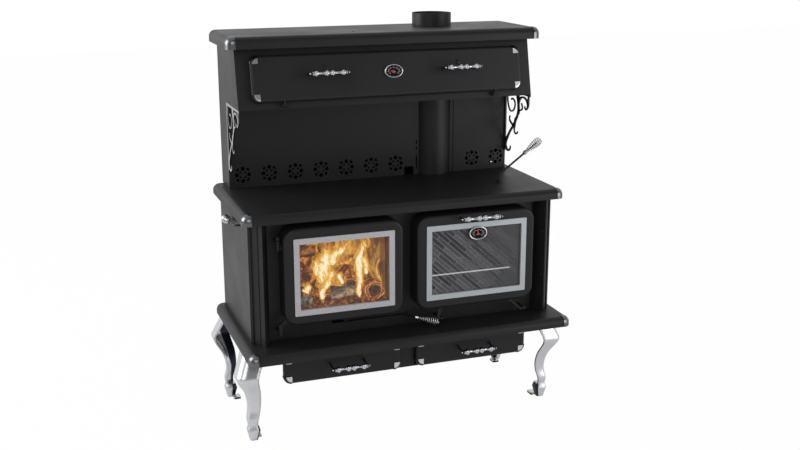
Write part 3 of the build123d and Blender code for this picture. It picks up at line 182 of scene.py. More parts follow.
def grained(name, dark, light, roughness, grain, patch, bump, metallic=0.0, specular=0.5):
    """A finish whose colour runs between two tones, with a fine tooth in its surface."""
    made, tree, shader = new_material(name, dark, roughness[0], metallic, specular)
    group = node(tree, "ShaderNodeGroup", node_tree=grain_group)
    wire(tree, group, {"Grain size": grain, "Patch size": patch})
    tone = group.outputs["Tone"]
    wire(tree, shader, {"Base Color": mix(tree, tone, dark, light),
                        "Roughness": remap(tree, tone, 0.3, 0.7, *roughness)})
    relief(tree, shader, group.outputs["Height"], bump, grain * 0.3)
    return made


def plated(name, dark, light, roughness, metallic=1.0):
    """Smooth plating with a slow change of tone."""
    return grained(name, dark, light, roughness, 0.004, 0.05, 0.03, metallic)


def enamel(name, dark, light):
    """Matt colour, as on a dial."""
    return grained(name, dark, light, (0.5, 0.6), 0.001, 0.01, 0.05)


print("grain group ready")

# %% [markdown]
# ## Paint, castings and plating
# The sheet metal and the cast doors wear the same satin black, the castings with a coarser tooth. The trims
# and the legs are plated, but satin: a small roughness spreads the reflections until only soft bands are
# left. The caps of the drawers and of the cabinet's door are bright on their fronts; the dark round their
# rims is painted shade, put into the plating's colour by the way each face looks. The corner caps wear a
# copy of the plating darkened by painted shade, for the darker reflections they show.
# %% Main finishes
stove_black = grained("stove_black", (0.0090, 0.0090, 0.0093), (0.0125, 0.0125, 0.0128), (0.40, 0.50), 0.0011,
                      0.16, 0.22, specular=0.27)
cast_black = grained("cast_black", (0.0085, 0.0085, 0.0088), (0.0120, 0.0120, 0.0123), (0.42, 0.50), 0.0016,
                     0.10, 0.30, specular=0.26)
bare_steel = grained("bare_steel", (0.10, 0.10, 0.105), (0.16, 0.16, 0.165), (0.35, 0.55), 0.0009, 0.06, 0.2,
                     metallic=0.7)
chrome = plated("chrome", (0.52, 0.525, 0.55), (0.62, 0.625, 0.65), (0.13, 0.20))
# The corner caps wear the chrome's plating with painted shade: its colour is darkened to stand in for the
# darker reflections they show.
cap_plate = plated("cap_plate", (0.13, 0.132, 0.140), (0.18, 0.182, 0.190), (0.22, 0.29))
rope_fibre = grained("rope_fibre", (0.42, 0.40, 0.36), (0.60, 0.58, 0.53), (0.85, 0.95), 0.0008, 0.02, 0.8)
fire_brick = grained("fire_brick", (0.20, 0.13, 0.08), (0.42, 0.30, 0.19), (0.85, 0.95), 0.004, 0.04, 0.7)
black_screw = grained("black_screw", grey(0.007), grey(0.012), (0.28, 0.36), 0.0012, 0.02, 0.1, specular=0.4)
front_cap = plated("front_cap", (0.62, 0.625, 0.64), (0.70, 0.705, 0.72), (0.25, 0.32), metallic=0.78)

tree = front_cap.node_tree
shader = tree.nodes["Principled BSDF"]
pale = shader.inputs["Base Color"].links[0].from_socket
# The rims get a near-black colour: painted shade wherever a face does not look straight to the front.
rim_painted_shade = remap(tree, xyz(tree, coordinates(tree)[1])["Y"], -0.995, -0.95)
wire(tree, shader, {"Base Color": mix(tree, rim_painted_shade, pale, (0.02, 0.02, 0.022))})
print("main finishes", len(bpy.data.materials))

# %% [markdown]
# ## The two window trims
# The fire door's trim is a plated casting with a sparkling speckle, and the oven door's is brushed plate.
# The speckle mixes two greys by the grain's flecks. The brushing is noise stretched along the plate.
# %% Trims
fire_trim = grained("fire_trim", (0.34, 0.33, 0.35), (0.44, 0.43, 0.45), (0.45, 0.55), 0.0026, 0.05, 0.25,
                    metallic=0.35)
tree = fire_trim.node_tree
speckle = mix(tree, tree.nodes["Group"].outputs["Fleck"], (0.28, 0.27, 0.29), (0.60, 0.59, 0.62))
wire(tree, tree.nodes["Principled BSDF"], {"Base Color": speckle})

oven_trim, tree, shader = new_material("oven_trim", (0.30, 0.34, 0.35), 0.4, metallic=0.5)
along_plate = node(tree, "ShaderNodeMapping", {"Vector": coordinates(tree)[0], "Scale": (12.0, 60.0, 900.0)})
brush = clouds(tree, along_plate.outputs["Vector"], 1.0, 3.0)
wire(tree, shader, {"Base Color": mix(tree, brush, (0.34, 0.365, 0.38), (0.46, 0.485, 0.505)),
                    "Roughness": remap(tree, brush, 0.0, 1.0, 0.32, 0.5)})
relief(tree, shader, brush, 0.2, 0.0002)
print("trims", fire_trim.name, oven_trim.name)

# %% [markdown]
# ## Glass
# Both windows are clear ceramic glass. The fire side stays clear, so the flames show; a shadow ray passes
# it, or the fire's light would stay behind it. The oven side is a coated pane that half hides the oven. The
# soft slanted bands on it are painted reflections: long bricks turned to the band's slope, drawn on the
# pane's own face, and a veil takes over towards the right.
# %% Panes
fire_glass, tree, shader = new_material("fire_glass", (0.97, 0.96, 0.94), 0.02)
in_shadow = node(tree, "ShaderNodeLightPath").outputs["Is Shadow Ray"]
wire(tree, shader, {"Transmission Weight": 1.0, "IOR": 1.3, "Alpha": maths(tree, "SUBTRACT", 1.0, in_shadow)})

oven_glass, tree, shader = new_material("oven_glass", (0.12, 0.12, 0.125), 0.10, specular=0.3)
band_slope, band_height, band_length = math.radians(42), 0.0155, 0.125
pane_left, pane_right = 0.10, 0.45
place = coordinates(tree)[0]
across = xyz(tree, place)
flat = node(tree, "ShaderNodeCombineXYZ", {"X": across["X"], "Y": across["Z"]})
turned = node(tree, "ShaderNodeMapping", {"Vector": flat.outputs["Vector"], "Rotation": (0, 0, band_slope)})
# The slanted bands are painted reflections, lighter streaks drawn into the pane's colour.
painted_reflection_bands = node(tree, "ShaderNodeTexBrick", {
    "Vector": turned.outputs["Vector"], "Scale": 1.0, "Color1": (0.040, 0.040, 0.043, 1),
    "Color2": (0.190, 0.190, 0.205, 1), "Mortar": (0.30, 0.30, 0.315, 1), "Mortar Size": 0.0010,
    "Mortar Smooth": 0.3, "Bias": -0.25, "Brick Width": band_length, "Row Height": band_height},
    offset=0.37, squash=1.0)
to_right = remap(tree, across["X"], pane_left, pane_right, -0.45, 0.38)
veil = maths(tree, "ADD", clouds(tree, place, 12.0, 3.0), to_right, clamp=True)
veiled = mix(tree, veil, painted_reflection_bands.outputs["Color"], (0.088, 0.088, 0.092))
wire(tree, shader, {"Base Color": veiled, "Alpha": 0.62})
print("panes", fire_glass.name, oven_glass.name)

# %% [markdown]
# ## The legs
# The legs are plated castings, open on the side that faces the middle of the stove. Out there the plating
# is satin and pale; in the hollow it would mirror only the dark underside, and that darkness is painted
# shade in the plating's colour. The mask compares the side of the stove a point is on with the way its face
# looks, along X and along Y, so one material serves all four legs. A line that follows the leg's curve keeps
# the painted shade off the outer half of each leg, which stays pale. The arris of the knee is rounded as a
# casting's is.
# %% Leg finish
leg_plating = grained("leg_plating", (0.66, 0.665, 0.69), (0.73, 0.735, 0.76), (0.27, 0.33), 0.05, 0.09, 0.0,
                      metallic=1.0)
tree = leg_plating.node_tree
shader = tree.nodes["Principled BSDF"]
pale = shader.inputs["Base Color"].links[0].from_socket
place, looks = coordinates(tree)
stove_middle, leg_top = (0.0, 0.06, 0.0), 0.36
sides = xyz(tree, vector_maths(tree, "MULTIPLY", vector_maths(tree, "SUBTRACT", place, stove_middle), looks))
# The hollow gets a near-black colour: painted shade for the dark underside it would mirror.
hollow_painted_shade = remap(tree, maths(tree, "MINIMUM", sides["X"], sides["Y"]), -0.13, -0.08, 1.0, 0.0)
spot = xyz(tree, place)
leg_line = ramp(tree, remap(tree, spot["Z"], 0.0, leg_top), (0.0, grey(0.50)), (0.36, grey(0.44)),
                (0.55, grey(0.56)), (0.75, grey(0.76)), (1.0, grey(0.38)))
border = maths(tree, "MULTIPLY_ADD", leg_line, 0.1, 0.55)
within = remap(tree, maths(tree, "SUBTRACT", border, maths(tree, "ABSOLUTE", spot["X"])), -0.002, 0.002)
shade = maths(tree, "MULTIPLY", hollow_painted_shade, within)
soft_arris = node(tree, "ShaderNodeBevel", {"Radius": 0.016}, samples=6)
wire(tree, shader, {"Base Color": mix(tree, shade, pale, (0.030, 0.033, 0.043)),
                    "Normal": soft_arris.outputs["Normal"]})
print("leg finish", leg_plating.name)

# %% [markdown]
# ## The scroll brackets
# The brackets are laser-cut plate. The side that faces out from the stove is plated and bright; the side
# that faces in is painted shade, near-black and without metal. One material serves both: the mask is the
# side of the stove a point is on, times the way its face looks.
# %% Bracket finish
bracket_plate, tree, shader = new_material("bracket_plate", (0.6, 0.6, 0.62), 0.2, metallic=1.0)
place, looks = coordinates(tree)
outward = maths(tree, "MULTIPLY", xyz(tree, place)["X"], xyz(tree, looks)["X"])
# Faces turned out keep the plating; faces turned in get near-black painted shade with no metal.
plated = maths(tree, "GREATER_THAN", outward, 0.2)
wire(tree, shader, {"Base Color": mix(tree, plated, grey(0.007), (0.60, 0.60, 0.62)), "Metallic": plated})
print("bracket finish", bracket_plate.name)

# %% [markdown]
# ## Hand the finishes to the CAD nodes
# A CAD node keeps its shape and its slots; only the material in each slot changes. Sorting the names by
# what they are made of keeps this to one short table. Legs, caps and handles go by their names, and the
# rest is painted.
# %% Assign
finish_rows = (
    (fire_trim, "fire_door_trim"), (oven_trim, "oven_door_trim"), (fire_glass, "fire_door_glass"),
    (oven_glass, "oven_door_glass"), (bracket_plate, "left_scroll_bracket right_scroll_bracket"),
    (rope_fibre, "fire_door_gasket oven_door_gasket"), (fire_brick, "firebricks baffle"),
    (bare_steel, "firebox_shell oven_shell"), (chrome, "oven_rack warming_dial oven_dial"),
    (black_screw, "panel_screws leg_bolts"), (cast_black, "cook_top fire_door_frame oven_door_frame"),
    (cast_black, "fire_door_hinges oven_door_hinges hinge_lugs"))
finish_of = {name: finish for finish, names in finish_rows for name in names.split()}


def finish_for(name):
    """The finish of a CAD node, by its name."""
    if name in finish_of:
        return finish_of[name]
    if name.startswith("leg_"):
        return leg_plating
    if "corner" in name:
        return cap_plate if name == "corner_caps" else front_cap
    return chrome if name.endswith("_handle") else stove_black


for name in sorted(nodes):
    for slot in nodes[name].material_slots:
        slot.material = finish_for(name)
print("finished nodes", len(nodes))

# %% [markdown]
# ## Meshes and turned shapes
# A lathe makes the spindle handles: a bar of steel with four pointed beads between slim waists. In Blender
# that is a profile of distances and radii, swept round an axis. The waists are cosine curves between the
# listed stations, so the profile needs few numbers and no facets show along it.
# %% Mesh helpers


def ride(made, body):
    """Let a piece ride on a body."""
    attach(made, body)
    return made


def mesh_piece(name, verts, faces, material, body, slot_name, smooth=True, uvs=None):
    """A mesh in the row frame that rides on a body and wears the given finish; slot_name is not used."""
    data = bpy.data.meshes.new(name)
    data.from_pydata([tuple(v) for v in verts], [], faces)
    data.validate()
    if uvs is not None:
        layer = data.uv_layers.new(name="UVMap")
        for loop in data.loops:
            layer.data[loop.index].uv = uvs[loop.vertex_index]
    data.polygons.foreach_set("use_smooth", [smooth] * len(data.polygons))
    data.materials.append(material)
    made = bpy.data.objects.new(name, data)
    scene.collection.objects.link(made)
    return ride(made, body)


def grid_faces(rows, columns, ring=False, flip=False):
    """Quads between rows of points; a ring joins each row's end to its start."""
    faces = []
    for j in range(rows - 1):
        for i in range(columns if ring else columns - 1):
            k = (i + 1) % columns
            quad = (j * columns + i, j * columns + k, (j + 1) * columns + k, (j + 1) * columns + i)
            faces.append(quad[::-1] if flip else quad)
    return faces


def frame_along(direction):
    """A direction of length 1, and two more square to it."""
    axis = Vector(direction).normalized()
    side = axis.cross(Vector((0, 0, 1)))
    if side.length < 0.1:
        side = axis.cross(Vector((0, 1, 0)))
    side.normalize()
    return axis, side, axis.cross(side).normalized()


def circle(steps):
    """Angles round a full turn."""
    return [2 * math.pi * i / steps for i in range(steps)]


def lathe(start, direction, profile, segments=40):
    """Vertices and faces of a closed turned shape; profile is (distance, radius) from start, in metres."""
    axis, side, up = frame_along(direction)
    start = Vector(start)
    verts = [start + axis * distance + (side * math.cos(a) + up * math.sin(a)) * max(radius, 1e-6)
             for distance, radius in profile for a in circle(segments)]
    faces = grid_faces(len(profile), segments, ring=True, flip=True)
    first = len(verts)
    last_row = first - segments
    verts += [start + axis * profile[0][0], start + axis * profile[-1][0]]
    for i in range(segments):
        k = (i + 1) % segments
        faces += [(first, i, k), (first + 1, last_row + k, last_row + i)]
    return verts, faces


def join(shapes):
    """Several (verts, faces) as one."""
    verts, faces = [], []
    for v, f in shapes:
        faces += [tuple(i + len(verts) for i in face) for face in f]
        verts += v
    return verts, faces


def eased(stations, steps=7):
    """Cosine curves through (distance, radius) stations; two stations at one distance make a step."""
    out = []
    for (d0, r0), (d1, r1) in zip(stations, stations[1:]):
        if abs(d1 - d0) < 1e-6:
            out.append((d0, r0))
            continue
        for i in range(steps):
            t = i / steps
            out.append((d0 + (d1 - d0) * t, r0 + (r1 - r0) * (1 - math.cos(math.pi * t)) / 2))
    out.append(stations[-1])
    return out


print("mesh helpers ready")

# %% [markdown]
# ## Spindle handles
# Each handle is a chrome spindle held by two black posts that end in eyes, with a bright nut outside each.
# Beads sit at fixed parts of the half length, the same on the long oven handle and the short drawer
# handles. The posts stand square to the face.
# %% Spindles
bead_places = (0.169, 0.785)
bead_r, shaft_r, waist_r, pin_r, eye_r, post_r = 12.8 * MM, 6.4 * MM, 4.4 * MM, 2.5 * MM, 6.4 * MM, 3.6 * MM
bead_half, eye_half, post_reach, ferrule = 11.0 * MM, 2.8 * MM, 4.2 * MM, 4.0 * MM


def spindle_profile(length):
    """Waists, pointed beads and ferrules, the same towards both ends."""
    half = length / 2
    right = [(0.0, waist_r)]
    for share in bead_places:
        c = half * share
        right += [(c - bead_half, shaft_r * 0.86), (c - bead_half * 0.35, bead_r * 0.80), (c, bead_r),
                  (c + bead_half * 0.35, bead_r * 0.80), (c + bead_half, shaft_r * 0.86)]
        if share == bead_places[0]:
            right.append((half * sum(bead_places) / 2, waist_r))
    right += [(half - ferrule, shaft_r), (half - ferrule, shaft_r * 1.25), (half, shaft_r * 1.25)]
    left = [(-d, r) for d, r in reversed(right[1:])]
    return eased(left + right, 5)


def handle(name, centre, out, stand_off, length, body, replaced):
    """A spindle along X at centre, and its posts back to the face behind it."""
    across = Vector((1, 0, 0))
    bar = lathe(centre, across, spindle_profile(length + 2 * (post_reach - eye_half)))
    stem = [(0.0, post_r * 2.6), (2.0 * MM, post_r * 2.6), (5.0 * MM, post_r * 1.7), (10 * MM, post_r),
            (stand_off - eye_r, post_r * 0.92), (stand_off - eye_r * 0.6, post_r * 1.2)]
    ring = [(-eye_half * 0.8, eye_r * 0.55), (-eye_half * 0.7, eye_r * 0.85), (0.0, eye_r),
            (eye_half * 0.7, eye_r * 0.85), (eye_half * 0.8, eye_r * 0.55)]
    nut = [(-eye_half - 0.5 * MM, pin_r), (eye_half, pin_r), (eye_half + 1 * MM, pin_r * 1.5),
           (eye_half + 3.5 * MM, pin_r * 1.7), (eye_half + 6 * MM, pin_r * 0.4)]
    posts, nuts = [], []
    for sign in (-1, 1):
        eye = Vector(centre) + across * sign * (length / 2 + post_reach)
        posts.append(lathe(eye - Vector(out) * stand_off, out, eased(stem, 4), 24))
        posts.append(lathe(eye, across, eased(ring, 4), 28))
        nuts.append(lathe(eye, across * sign, eased(nut, 4), 20))
    for part, shape, finish, slot_name in (("_spindle", bar, chrome, "bright_trim"),
                                           ("_posts", join(posts), black_screw, "black_steel"),
                                           ("_nuts", join(nuts), chrome, "bright_trim")):
        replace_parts(mesh_piece(name + part, *shape, finish, body, slot_name), replaced)


print("spindle half profile", len(spindle_profile(0.1)) // 2)

# %% [markdown]
# The cabinet's front leans back, so a point on it is given by how far up the face it is and how far out of
# it.
# %% Handles
lean = math.radians(12.6)
cabinet_front, cabinet_foot = -32 * MM, 1233 * MM
door_front, drawer_front = -262 * MM, -227 * MM
front, upright = Vector((0, -1, 0)), Vector((0, 0, 1))
face_out = Vector((0, -math.cos(lean), math.sin(lean)))
face_up = Vector((0, math.sin(lean), math.cos(lean)))


def on_cabinet(x, s, n):
    """A point of the cabinet's slanted front: s up the face and n out of it, in millimetres."""
    return Vector((x * MM, cabinet_front, cabinet_foot)) + (face_up * s + face_out * n) * MM


handle("oven_handle", (261.9 * MM, door_front - 46 * MM, 826.2 * MM), front, 46 * MM, 142 * MM, "oven_door",
       "oven_door_handle")
for side_name, x in (("left", -249), ("right", 270.5)):
    handle(side_name + "_drawer_pull", (x * MM, drawer_front - 55 * MM, 289 * MM), front, 55 * MM, 124 * MM,
           side_name + "_drawer_unit", side_name + "_drawer_handle")
for side_name, x in (("left", -256), ("right", 272)):
    handle(side_name + "_warming_pull", on_cabinet(x, 115, 83.5), face_out, 57 * MM, 128 * MM, "warming_door",
           "warming_door_handles")

# %% [markdown]
# ## Catch bolts of the warming door
# Above each warming handle sits the round head of the catch, with a shallow dish in it.
# %% Catch bolts
head_profile = eased([(-0.5 * MM, 8.5 * MM), (2.5 * MM, 8.5 * MM), (4.0 * MM, 7.0 * MM), (4.4 * MM, 4.2 * MM),
                      (3.4 * MM, 3.8 * MM), (3.2 * MM, 0.2 * MM)], 3)
catches = [lathe(on_cabinet(x, 139, 26.5), face_out, head_profile, 32) for x in (-254, 274)]
mesh_piece("warming_catches", *join(catches), black_screw, "warming_door", "fastener")
print("catches", len(catches))

# %% [markdown]
# ## Dial faces
# A thermometer is an oval dished case with a bright rim, a black face with a ring of light ticks and round
# numbers, and a red hand. The ticks repeat round an oval, so Geometry Nodes makes them: points on a circle
# are stretched to the oval, and a small bar sits on each, turned to point at the middle.
# %% Tick tree
ink = enamel("dial_ink", (0.30, 0.30, 0.31), (0.40, 0.40, 0.41))
dial_black = grained("dial_black", (0.004, 0.004, 0.005), (0.007, 0.007, 0.008), (0.8, 0.9), 0.001, 0.01,
                     0.05, specular=0.08)
hand_red = enamel("hand_red", (0.50, 0.006, 0.005), (0.60, 0.015, 0.010))
zone_green = enamel("zone_green", (0.13, 0.12, 0.035), (0.17, 0.15, 0.05))
zone_red = enamel("zone_red", (0.13, 0.035, 0.03), (0.17, 0.05, 0.04))

ticks_tree, given, result = new_tree("dial_ticks", "GeometryNodeTree", [
    ("Geometry", GEOMETRY), ("Count", WHOLE), ("Half width", FLOAT), ("Half height", FLOAT),
    ("Tick length", FLOAT), ("Tick width", FLOAT), ("Ink", MATERIAL)], [("Geometry", GEOMETRY)])
ring = node(ticks_tree, "GeometryNodeMeshCircle", {"Vertices": given["Count"], "Radius": 1.0})
oval = node(ticks_tree, "ShaderNodeCombineXYZ", {"X": given["Half width"], "Y": given["Half height"],
                                                 "Z": 1.0})
stretched = node(ticks_tree, "GeometryNodeTransform", {"Geometry": ring.outputs["Mesh"],
                                                       "Scale": oval.outputs["Vector"]})
size = node(ticks_tree, "ShaderNodeCombineXYZ", {"X": given["Tick length"], "Y": given["Tick width"],
                                                 "Z": 0.0004})
tick = node(ticks_tree, "GeometryNodeMeshCube", {"Size": size.outputs["Vector"]})
here = node(ticks_tree, "GeometryNodeInputPosition")
aim = node(ticks_tree, "FunctionNodeAlignRotationToVector", {"Vector": here.outputs["Position"]}, axis="X")
laid = node(ticks_tree, "GeometryNodeInstanceOnPoints", {
    "Points": stretched.outputs["Geometry"], "Instance": tick.outputs["Mesh"],
    "Rotation": aim.outputs["Rotation"]})


def finish_tree(tree, instances, material, result):
    """Realize the instances, give them their material and send them to the tree's result."""
    real = node(tree, "GeometryNodeRealizeInstances", {"Geometry": instances})
    done = node(tree, "GeometryNodeSetMaterial", {"Geometry": real.outputs["Geometry"], "Material": material})
    wire(tree, result, {"Geometry": done.outputs["Geometry"]})


finish_tree(ticks_tree, laid.outputs["Instances"], given["Ink"], result)
print("tick tree nodes", len(ticks_tree.nodes))

# %% [markdown]
# A tree runs on an empty seed object. Its result is kept as a plain mesh, which is moved before it becomes
# a piece, so that the piece's place is in its vertices. Text goes the same way.
# %% Grow and adopt


def plain_mesh(name, holder):
    """The evaluated mesh of an object, which is then removed."""
    bpy.context.view_layer.update()
    data = bpy.data.meshes.new_from_object(holder.evaluated_get(bpy.context.evaluated_depsgraph_get()))
    bpy.data.objects.remove(holder)
    data.name = name
    return data


def grow(name, tree, values):
    """Run a Geometry Nodes tree on an object and keep only the plain mesh it makes."""
    seed = bpy.data.objects.new(name + "_seed", bpy.data.meshes.new(name + "_seed"))
    scene.collection.objects.link(seed)
    modifier = seed.modifiers.new("grow", "NODES")
    modifier.node_group = tree
    for item in tree.interface.items_tree:
        if item.in_out == "INPUT" and item.name in values:
            modifier[item.identifier] = values[item.name]
    return plain_mesh(name, seed)


def adopt(name, data, transform, body):
    """Make a grown mesh a piece: bring it to its place and let it ride."""
    data.transform(transform)
    made = bpy.data.objects.new(name, data)
    scene.collection.objects.link(made)
    ride(made, body)


def number_mesh(name, number):
    """A number as a thin solid, centred on the origin."""
    font = bpy.data.curves.new(name, "FONT")
    font.body = number
    font.size = 6.6 * MM
    font.extrude = 0.15 * MM
    font.align_x = "CENTER"
    font.align_y = "CENTER"
    holder = bpy.data.objects.new(name, font)
    scene.collection.objects.link(holder)
    data = plain_mesh(name, holder)
    data.materials.clear()
    data.materials.append(ink)
    return data


print("growing and text ready")

# %% [markdown]
# The face is a flat oval, the rim a bead round it, and two arcs below the hub mark zones of heat.
# %% Dials
half_w, half_h, rim_r = 37 * MM, 26 * MM, 2.5 * MM
face_w, face_h = half_w - 5 * MM, half_h - 5 * MM
rim_steps = 14
oval_angles = circle(72)
hand_outline = [(-4, -1.2), (0, -2.6), (9, -1.9), (15.5, 0), (9, 1.9), (0, 2.6), (-4, 1.2)]
hub_profile = eased([(0.2 * MM, 3.0 * MM), (2.6 * MM, 3.0 * MM), (3.2 * MM, 2.2 * MM),
                     (3.4 * MM, 0.3 * MM)], 3)


def rim_shape():
    """A bead round the oval."""
    verts, faces = [], []
    for i, a in enumerate(oval_angles):
        edge = Vector(((half_w - rim_r) * math.cos(a), (half_h - rim_r) * math.sin(a), 1.4 * MM))
        away = Vector((math.cos(a) / half_w, math.sin(a) / half_h, 0)).normalized()
        following = (i + 1) % len(oval_angles) * rim_steps
        for j, b in enumerate(circle(rim_steps)):
            verts.append(edge + away * rim_r * math.cos(b) + Vector((0, 0, rim_r * math.sin(b))))
            k = (j + 1) % rim_steps
            faces.append((i * rim_steps + j, following + j, following + k, i * rim_steps + k))
    return verts, faces


def face_shape():
    """A flat oval with a thin edge."""
    verts = [Vector((face_w * share * math.cos(a), face_h * share * math.sin(a), level))
             for level, share in ((0.1 * MM, 1.0), (0.5 * MM, 0.985), (0.5 * MM, 0.0)) for a in oval_angles]
    return verts, grid_faces(3, len(oval_angles), ring=True)


def zone_shape(inner, outer):
    """An arc below the hub, between two radii in millimetres."""
    arc = [math.radians(205 + 13 * i) for i in range(11)]
    verts = [Vector((1.25 * r * MM * math.cos(a), r * MM * math.sin(a), 1.1 * MM))
             for a in arc for r in (inner, outer)]
    return verts, [(2 * i, 2 * i + 1, 2 * i + 3, 2 * i + 2) for i in range(len(arc) - 1)]


def hand_shape(angle):
    """A thin pointer, turned to an angle in degrees."""
    turn = Matrix.Rotation(math.radians(angle), 4, "Z")
    verts = [turn @ Vector((x * MM, y * MM, z * MM)) for z in (1.3, 2.0) for x, y in hand_outline]
    n = len(hand_outline)
    faces = [tuple(range(n, 2 * n)), tuple(reversed(range(n)))]
    faces += [(i, (i + 1) % n, n + (i + 1) % n, n + i) for i in range(n)]
    return verts, faces


def dial(name, centre, out, up, body, pointer_angle, numbers):
    """Rim, face, ticks, numbers and hand on a dished case whose floor is at centre."""
    right = up.cross(out).normalized()
    place = Matrix.Translation(centre) @ Matrix((
        (right.x, up.x, out.x, 0), (right.y, up.y, out.y, 0), (right.z, up.z, out.z, 0), (0, 0, 0, 1)))

    def put(part, shape, finish, smooth=False):
        mesh_piece(name + part, [place @ v for v in shape[0]], shape[1], finish, body, "dial_face", smooth)

    put("_rim", rim_shape(), chrome, smooth=True)
    put("_face", face_shape(), dial_black)
    for label, count, share, length, width in (("long", 12, 0.97, 2.4, 0.8), ("short", 60, 0.99, 1.0, 0.3)):
        part = name + "_ticks_" + label
        data = grow(part, ticks_tree, {
            "Count": count, "Half width": 31 * MM * share, "Half height": 20 * MM * share,
            "Tick length": length * MM, "Tick width": width * MM, "Ink": ink})
        adopt(part, data, place @ Matrix.Translation((0, 0, 0.7 * MM)), body)
    for index, number in enumerate(numbers):
        part = name + "_number_" + str(number)
        a = math.radians(222 - 33 * index)
        spot = Matrix.Translation((21.5 * MM * math.cos(a), 12.4 * MM * math.sin(a), 0.8 * MM))
        adopt(part, number_mesh(part, str(number)), place @ spot, body)
    put("_zone_green", zone_shape(2.5, 6.0), zone_green)
    put("_zone_red", zone_shape(6.0, 8.6), zone_red)
    put("_hand", hand_shape(pointer_angle), hand_red)
    mesh_piece(name + "_hub", *lathe(centre, out, hub_profile, 28), hand_red, body, "dial_face")


dial("oven_gauge", Vector((261.9 * MM, -270.5 * MM, 758.7 * MM)), front, upright, "oven_door", 106,
     range(50, 500, 50))
dial("warming_gauge", on_cabinet(8, 117, 31), face_out, face_up, "warming_door", 178, range(20, 200, 20))

# %% [markdown]
# ## Logs
# Split logs burn from the outside in. The bark side chars and cracks, and the cracks glow. Each log is a
# tube of rings whose radius follows slow noise, closed by a cut end with growth rings. Its UV map runs from
# the cut end's middle to its edge, so the rings follow the wood.
# %% Log finishes


def burning_bark(name, low, middle, high, strength):
    """Bark that glows: dark where it is cold, with glowing cracks and patches where the noise is high."""
    made, tree, shader = new_material(name, low, 0.85, specular=0.1)
    place = coordinates(tree)[0]
    lumps = node(tree, "ShaderNodeTexVoronoi", {"Vector": place, "Scale": 48.0}, feature="DISTANCE_TO_EDGE")
    depth = lumps.outputs["Distance"]
    cracks = remap(tree, depth, 0.0, 0.05, 0.22, 0.0)
    patches = remap(tree, clouds(tree, place, 26.0, 6.0, 0.65, 1.1), 0.36, 0.72)
    colours = ramp(tree, maths(tree, "ADD", cracks, patches), (0.10, low), (0.52, middle), (0.95, high))
    wire(tree, shader, {"Base Color": colours})
    glow(tree, shader, colours, strength)
    relief(tree, shader, depth, 0.9, 0.004)
    return made


char = burning_bark("charred_wood", (0.030, 0.011, 0.005), (0.13, 0.040, 0.011), (0.72, 0.27, 0.045), 0.85)
amber_bark = burning_bark("amber_bark", (0.13, 0.055, 0.012), (0.40, 0.185, 0.030), (0.82, 0.48, 0.10), 0.95)
ash_bark = burning_bark("ash_bark", (0.030, 0.022, 0.017), (0.125, 0.100, 0.080), (0.46, 0.32, 0.12), 0.50)

cut_end, tree, shader = new_material("cut_log_end", (0.020, 0.009, 0.005), 0.9, specular=0.1)
from_pith = xyz(tree, node(tree, "ShaderNodeUVMap", uv_map="UVMap").outputs["UV"])["Y"]
waver = clouds(tree, coordinates(tree)[0], 45.0, 3.0)
ring_wave = maths(tree, "MULTIPLY", maths(tree, "MULTIPLY_ADD", waver, 0.90, from_pith), 18.0)
ring_tone = remap(tree, maths(tree, "SINE", ring_wave), -1.0, 1.0, -0.26, 0.16)
heat = maths(tree, "MULTIPLY_ADD", from_pith, 0.95, ring_tone)
glow(tree, shader, ramp(tree, heat, (0.30, (0.030, 0.012, 0.008)), (0.70, (0.20, 0.070, 0.020)),
                        (1.0, (0.68, 0.27, 0.055))), 1.2)
print("log finishes", char.name, amber_bark.name, ash_bark.name, cut_end.name)

# %% [markdown]
# A log is given by its two ends and its radius. Both ends are cut, and each cut is a shallow dome in three
# rings.
# %% Logs
log_rings, log_around = 30, 40


def wobble(point, size):
    """Slow noise at a point, for shapes that no machine made."""
    return noise.noise(Vector(point) / size)


def bark_tube(start, end, radius, seed):
    """The long side of a log: its vertices and UVs."""
    axis, side, up = frame_along(end - start)
    length = (end - start).length
    verts, uvs = [], []
    for j in range(log_rings + 1):
        t = j / log_rings
        centre = start + axis * length * t + side * wobble((seed, t * 3, 0), 1.0) * radius * 0.3
        for i, a in enumerate(circle(log_around)):
            rough = 1 + 0.16 * wobble((seed + math.cos(a), math.sin(a), t * 4), 0.7)
            rough += 0.07 * wobble((math.cos(a) * 3, seed + math.sin(a) * 3, t * 14), 0.8)
            verts.append(centre + (side * math.cos(a) + up * math.sin(a)) * radius * rough)
            uvs.append((t * length / MM / 100, i / log_around))
    return verts, uvs


def log(name, start, end, radius, seed, bark):
    """A log from start to end, in millimetres, with a cut end at both."""
    start, end, radius = Vector(start) * MM, Vector(end) * MM, radius * MM
    axis = (end - start).normalized()
    verts, uvs = bark_tube(start, end, radius, seed)
    faces = grid_faces(log_rings + 1, log_around, ring=True, flip=True)
    bark_faces = len(faces)
    for row, sign in ((0, 1), (log_rings * log_around, -1)):
        rim = verts[row:row + log_around]
        centre = sum(rim, Vector()) / log_around
        outer, cap = row, []
        for share, shrink in ((1.0, 0.999), (0.66, 0.66), (0.33, 0.33)):
            base = len(verts)
            dome = axis * (1 - share) * radius * 0.06 * sign
            verts += [centre + (point - centre) * shrink + dome for point in rim]
            uvs += [(i / log_around, share) for i in range(log_around)]
            cap += [(outer + i, outer + (i + 1) % log_around, base + (i + 1) % log_around, base + i)
                    for i in range(log_around)]
            outer = base
        cap += [(outer + i, outer + (i + 1) % log_around, len(verts)) for i in range(log_around)]
        verts.append(centre + axis * radius * 0.06 * sign)
        uvs.append((0.5, 0.0))
        faces += cap if sign > 0 else [face[::-1] for face in cap]
    made = mesh_piece(name, verts, faces, bark, "stove", "fire_brick", uvs=uvs)
    made.data.materials.append(cut_end)
    for polygon in made.data.polygons[bark_faces:]:
        polygon.material_index = 1


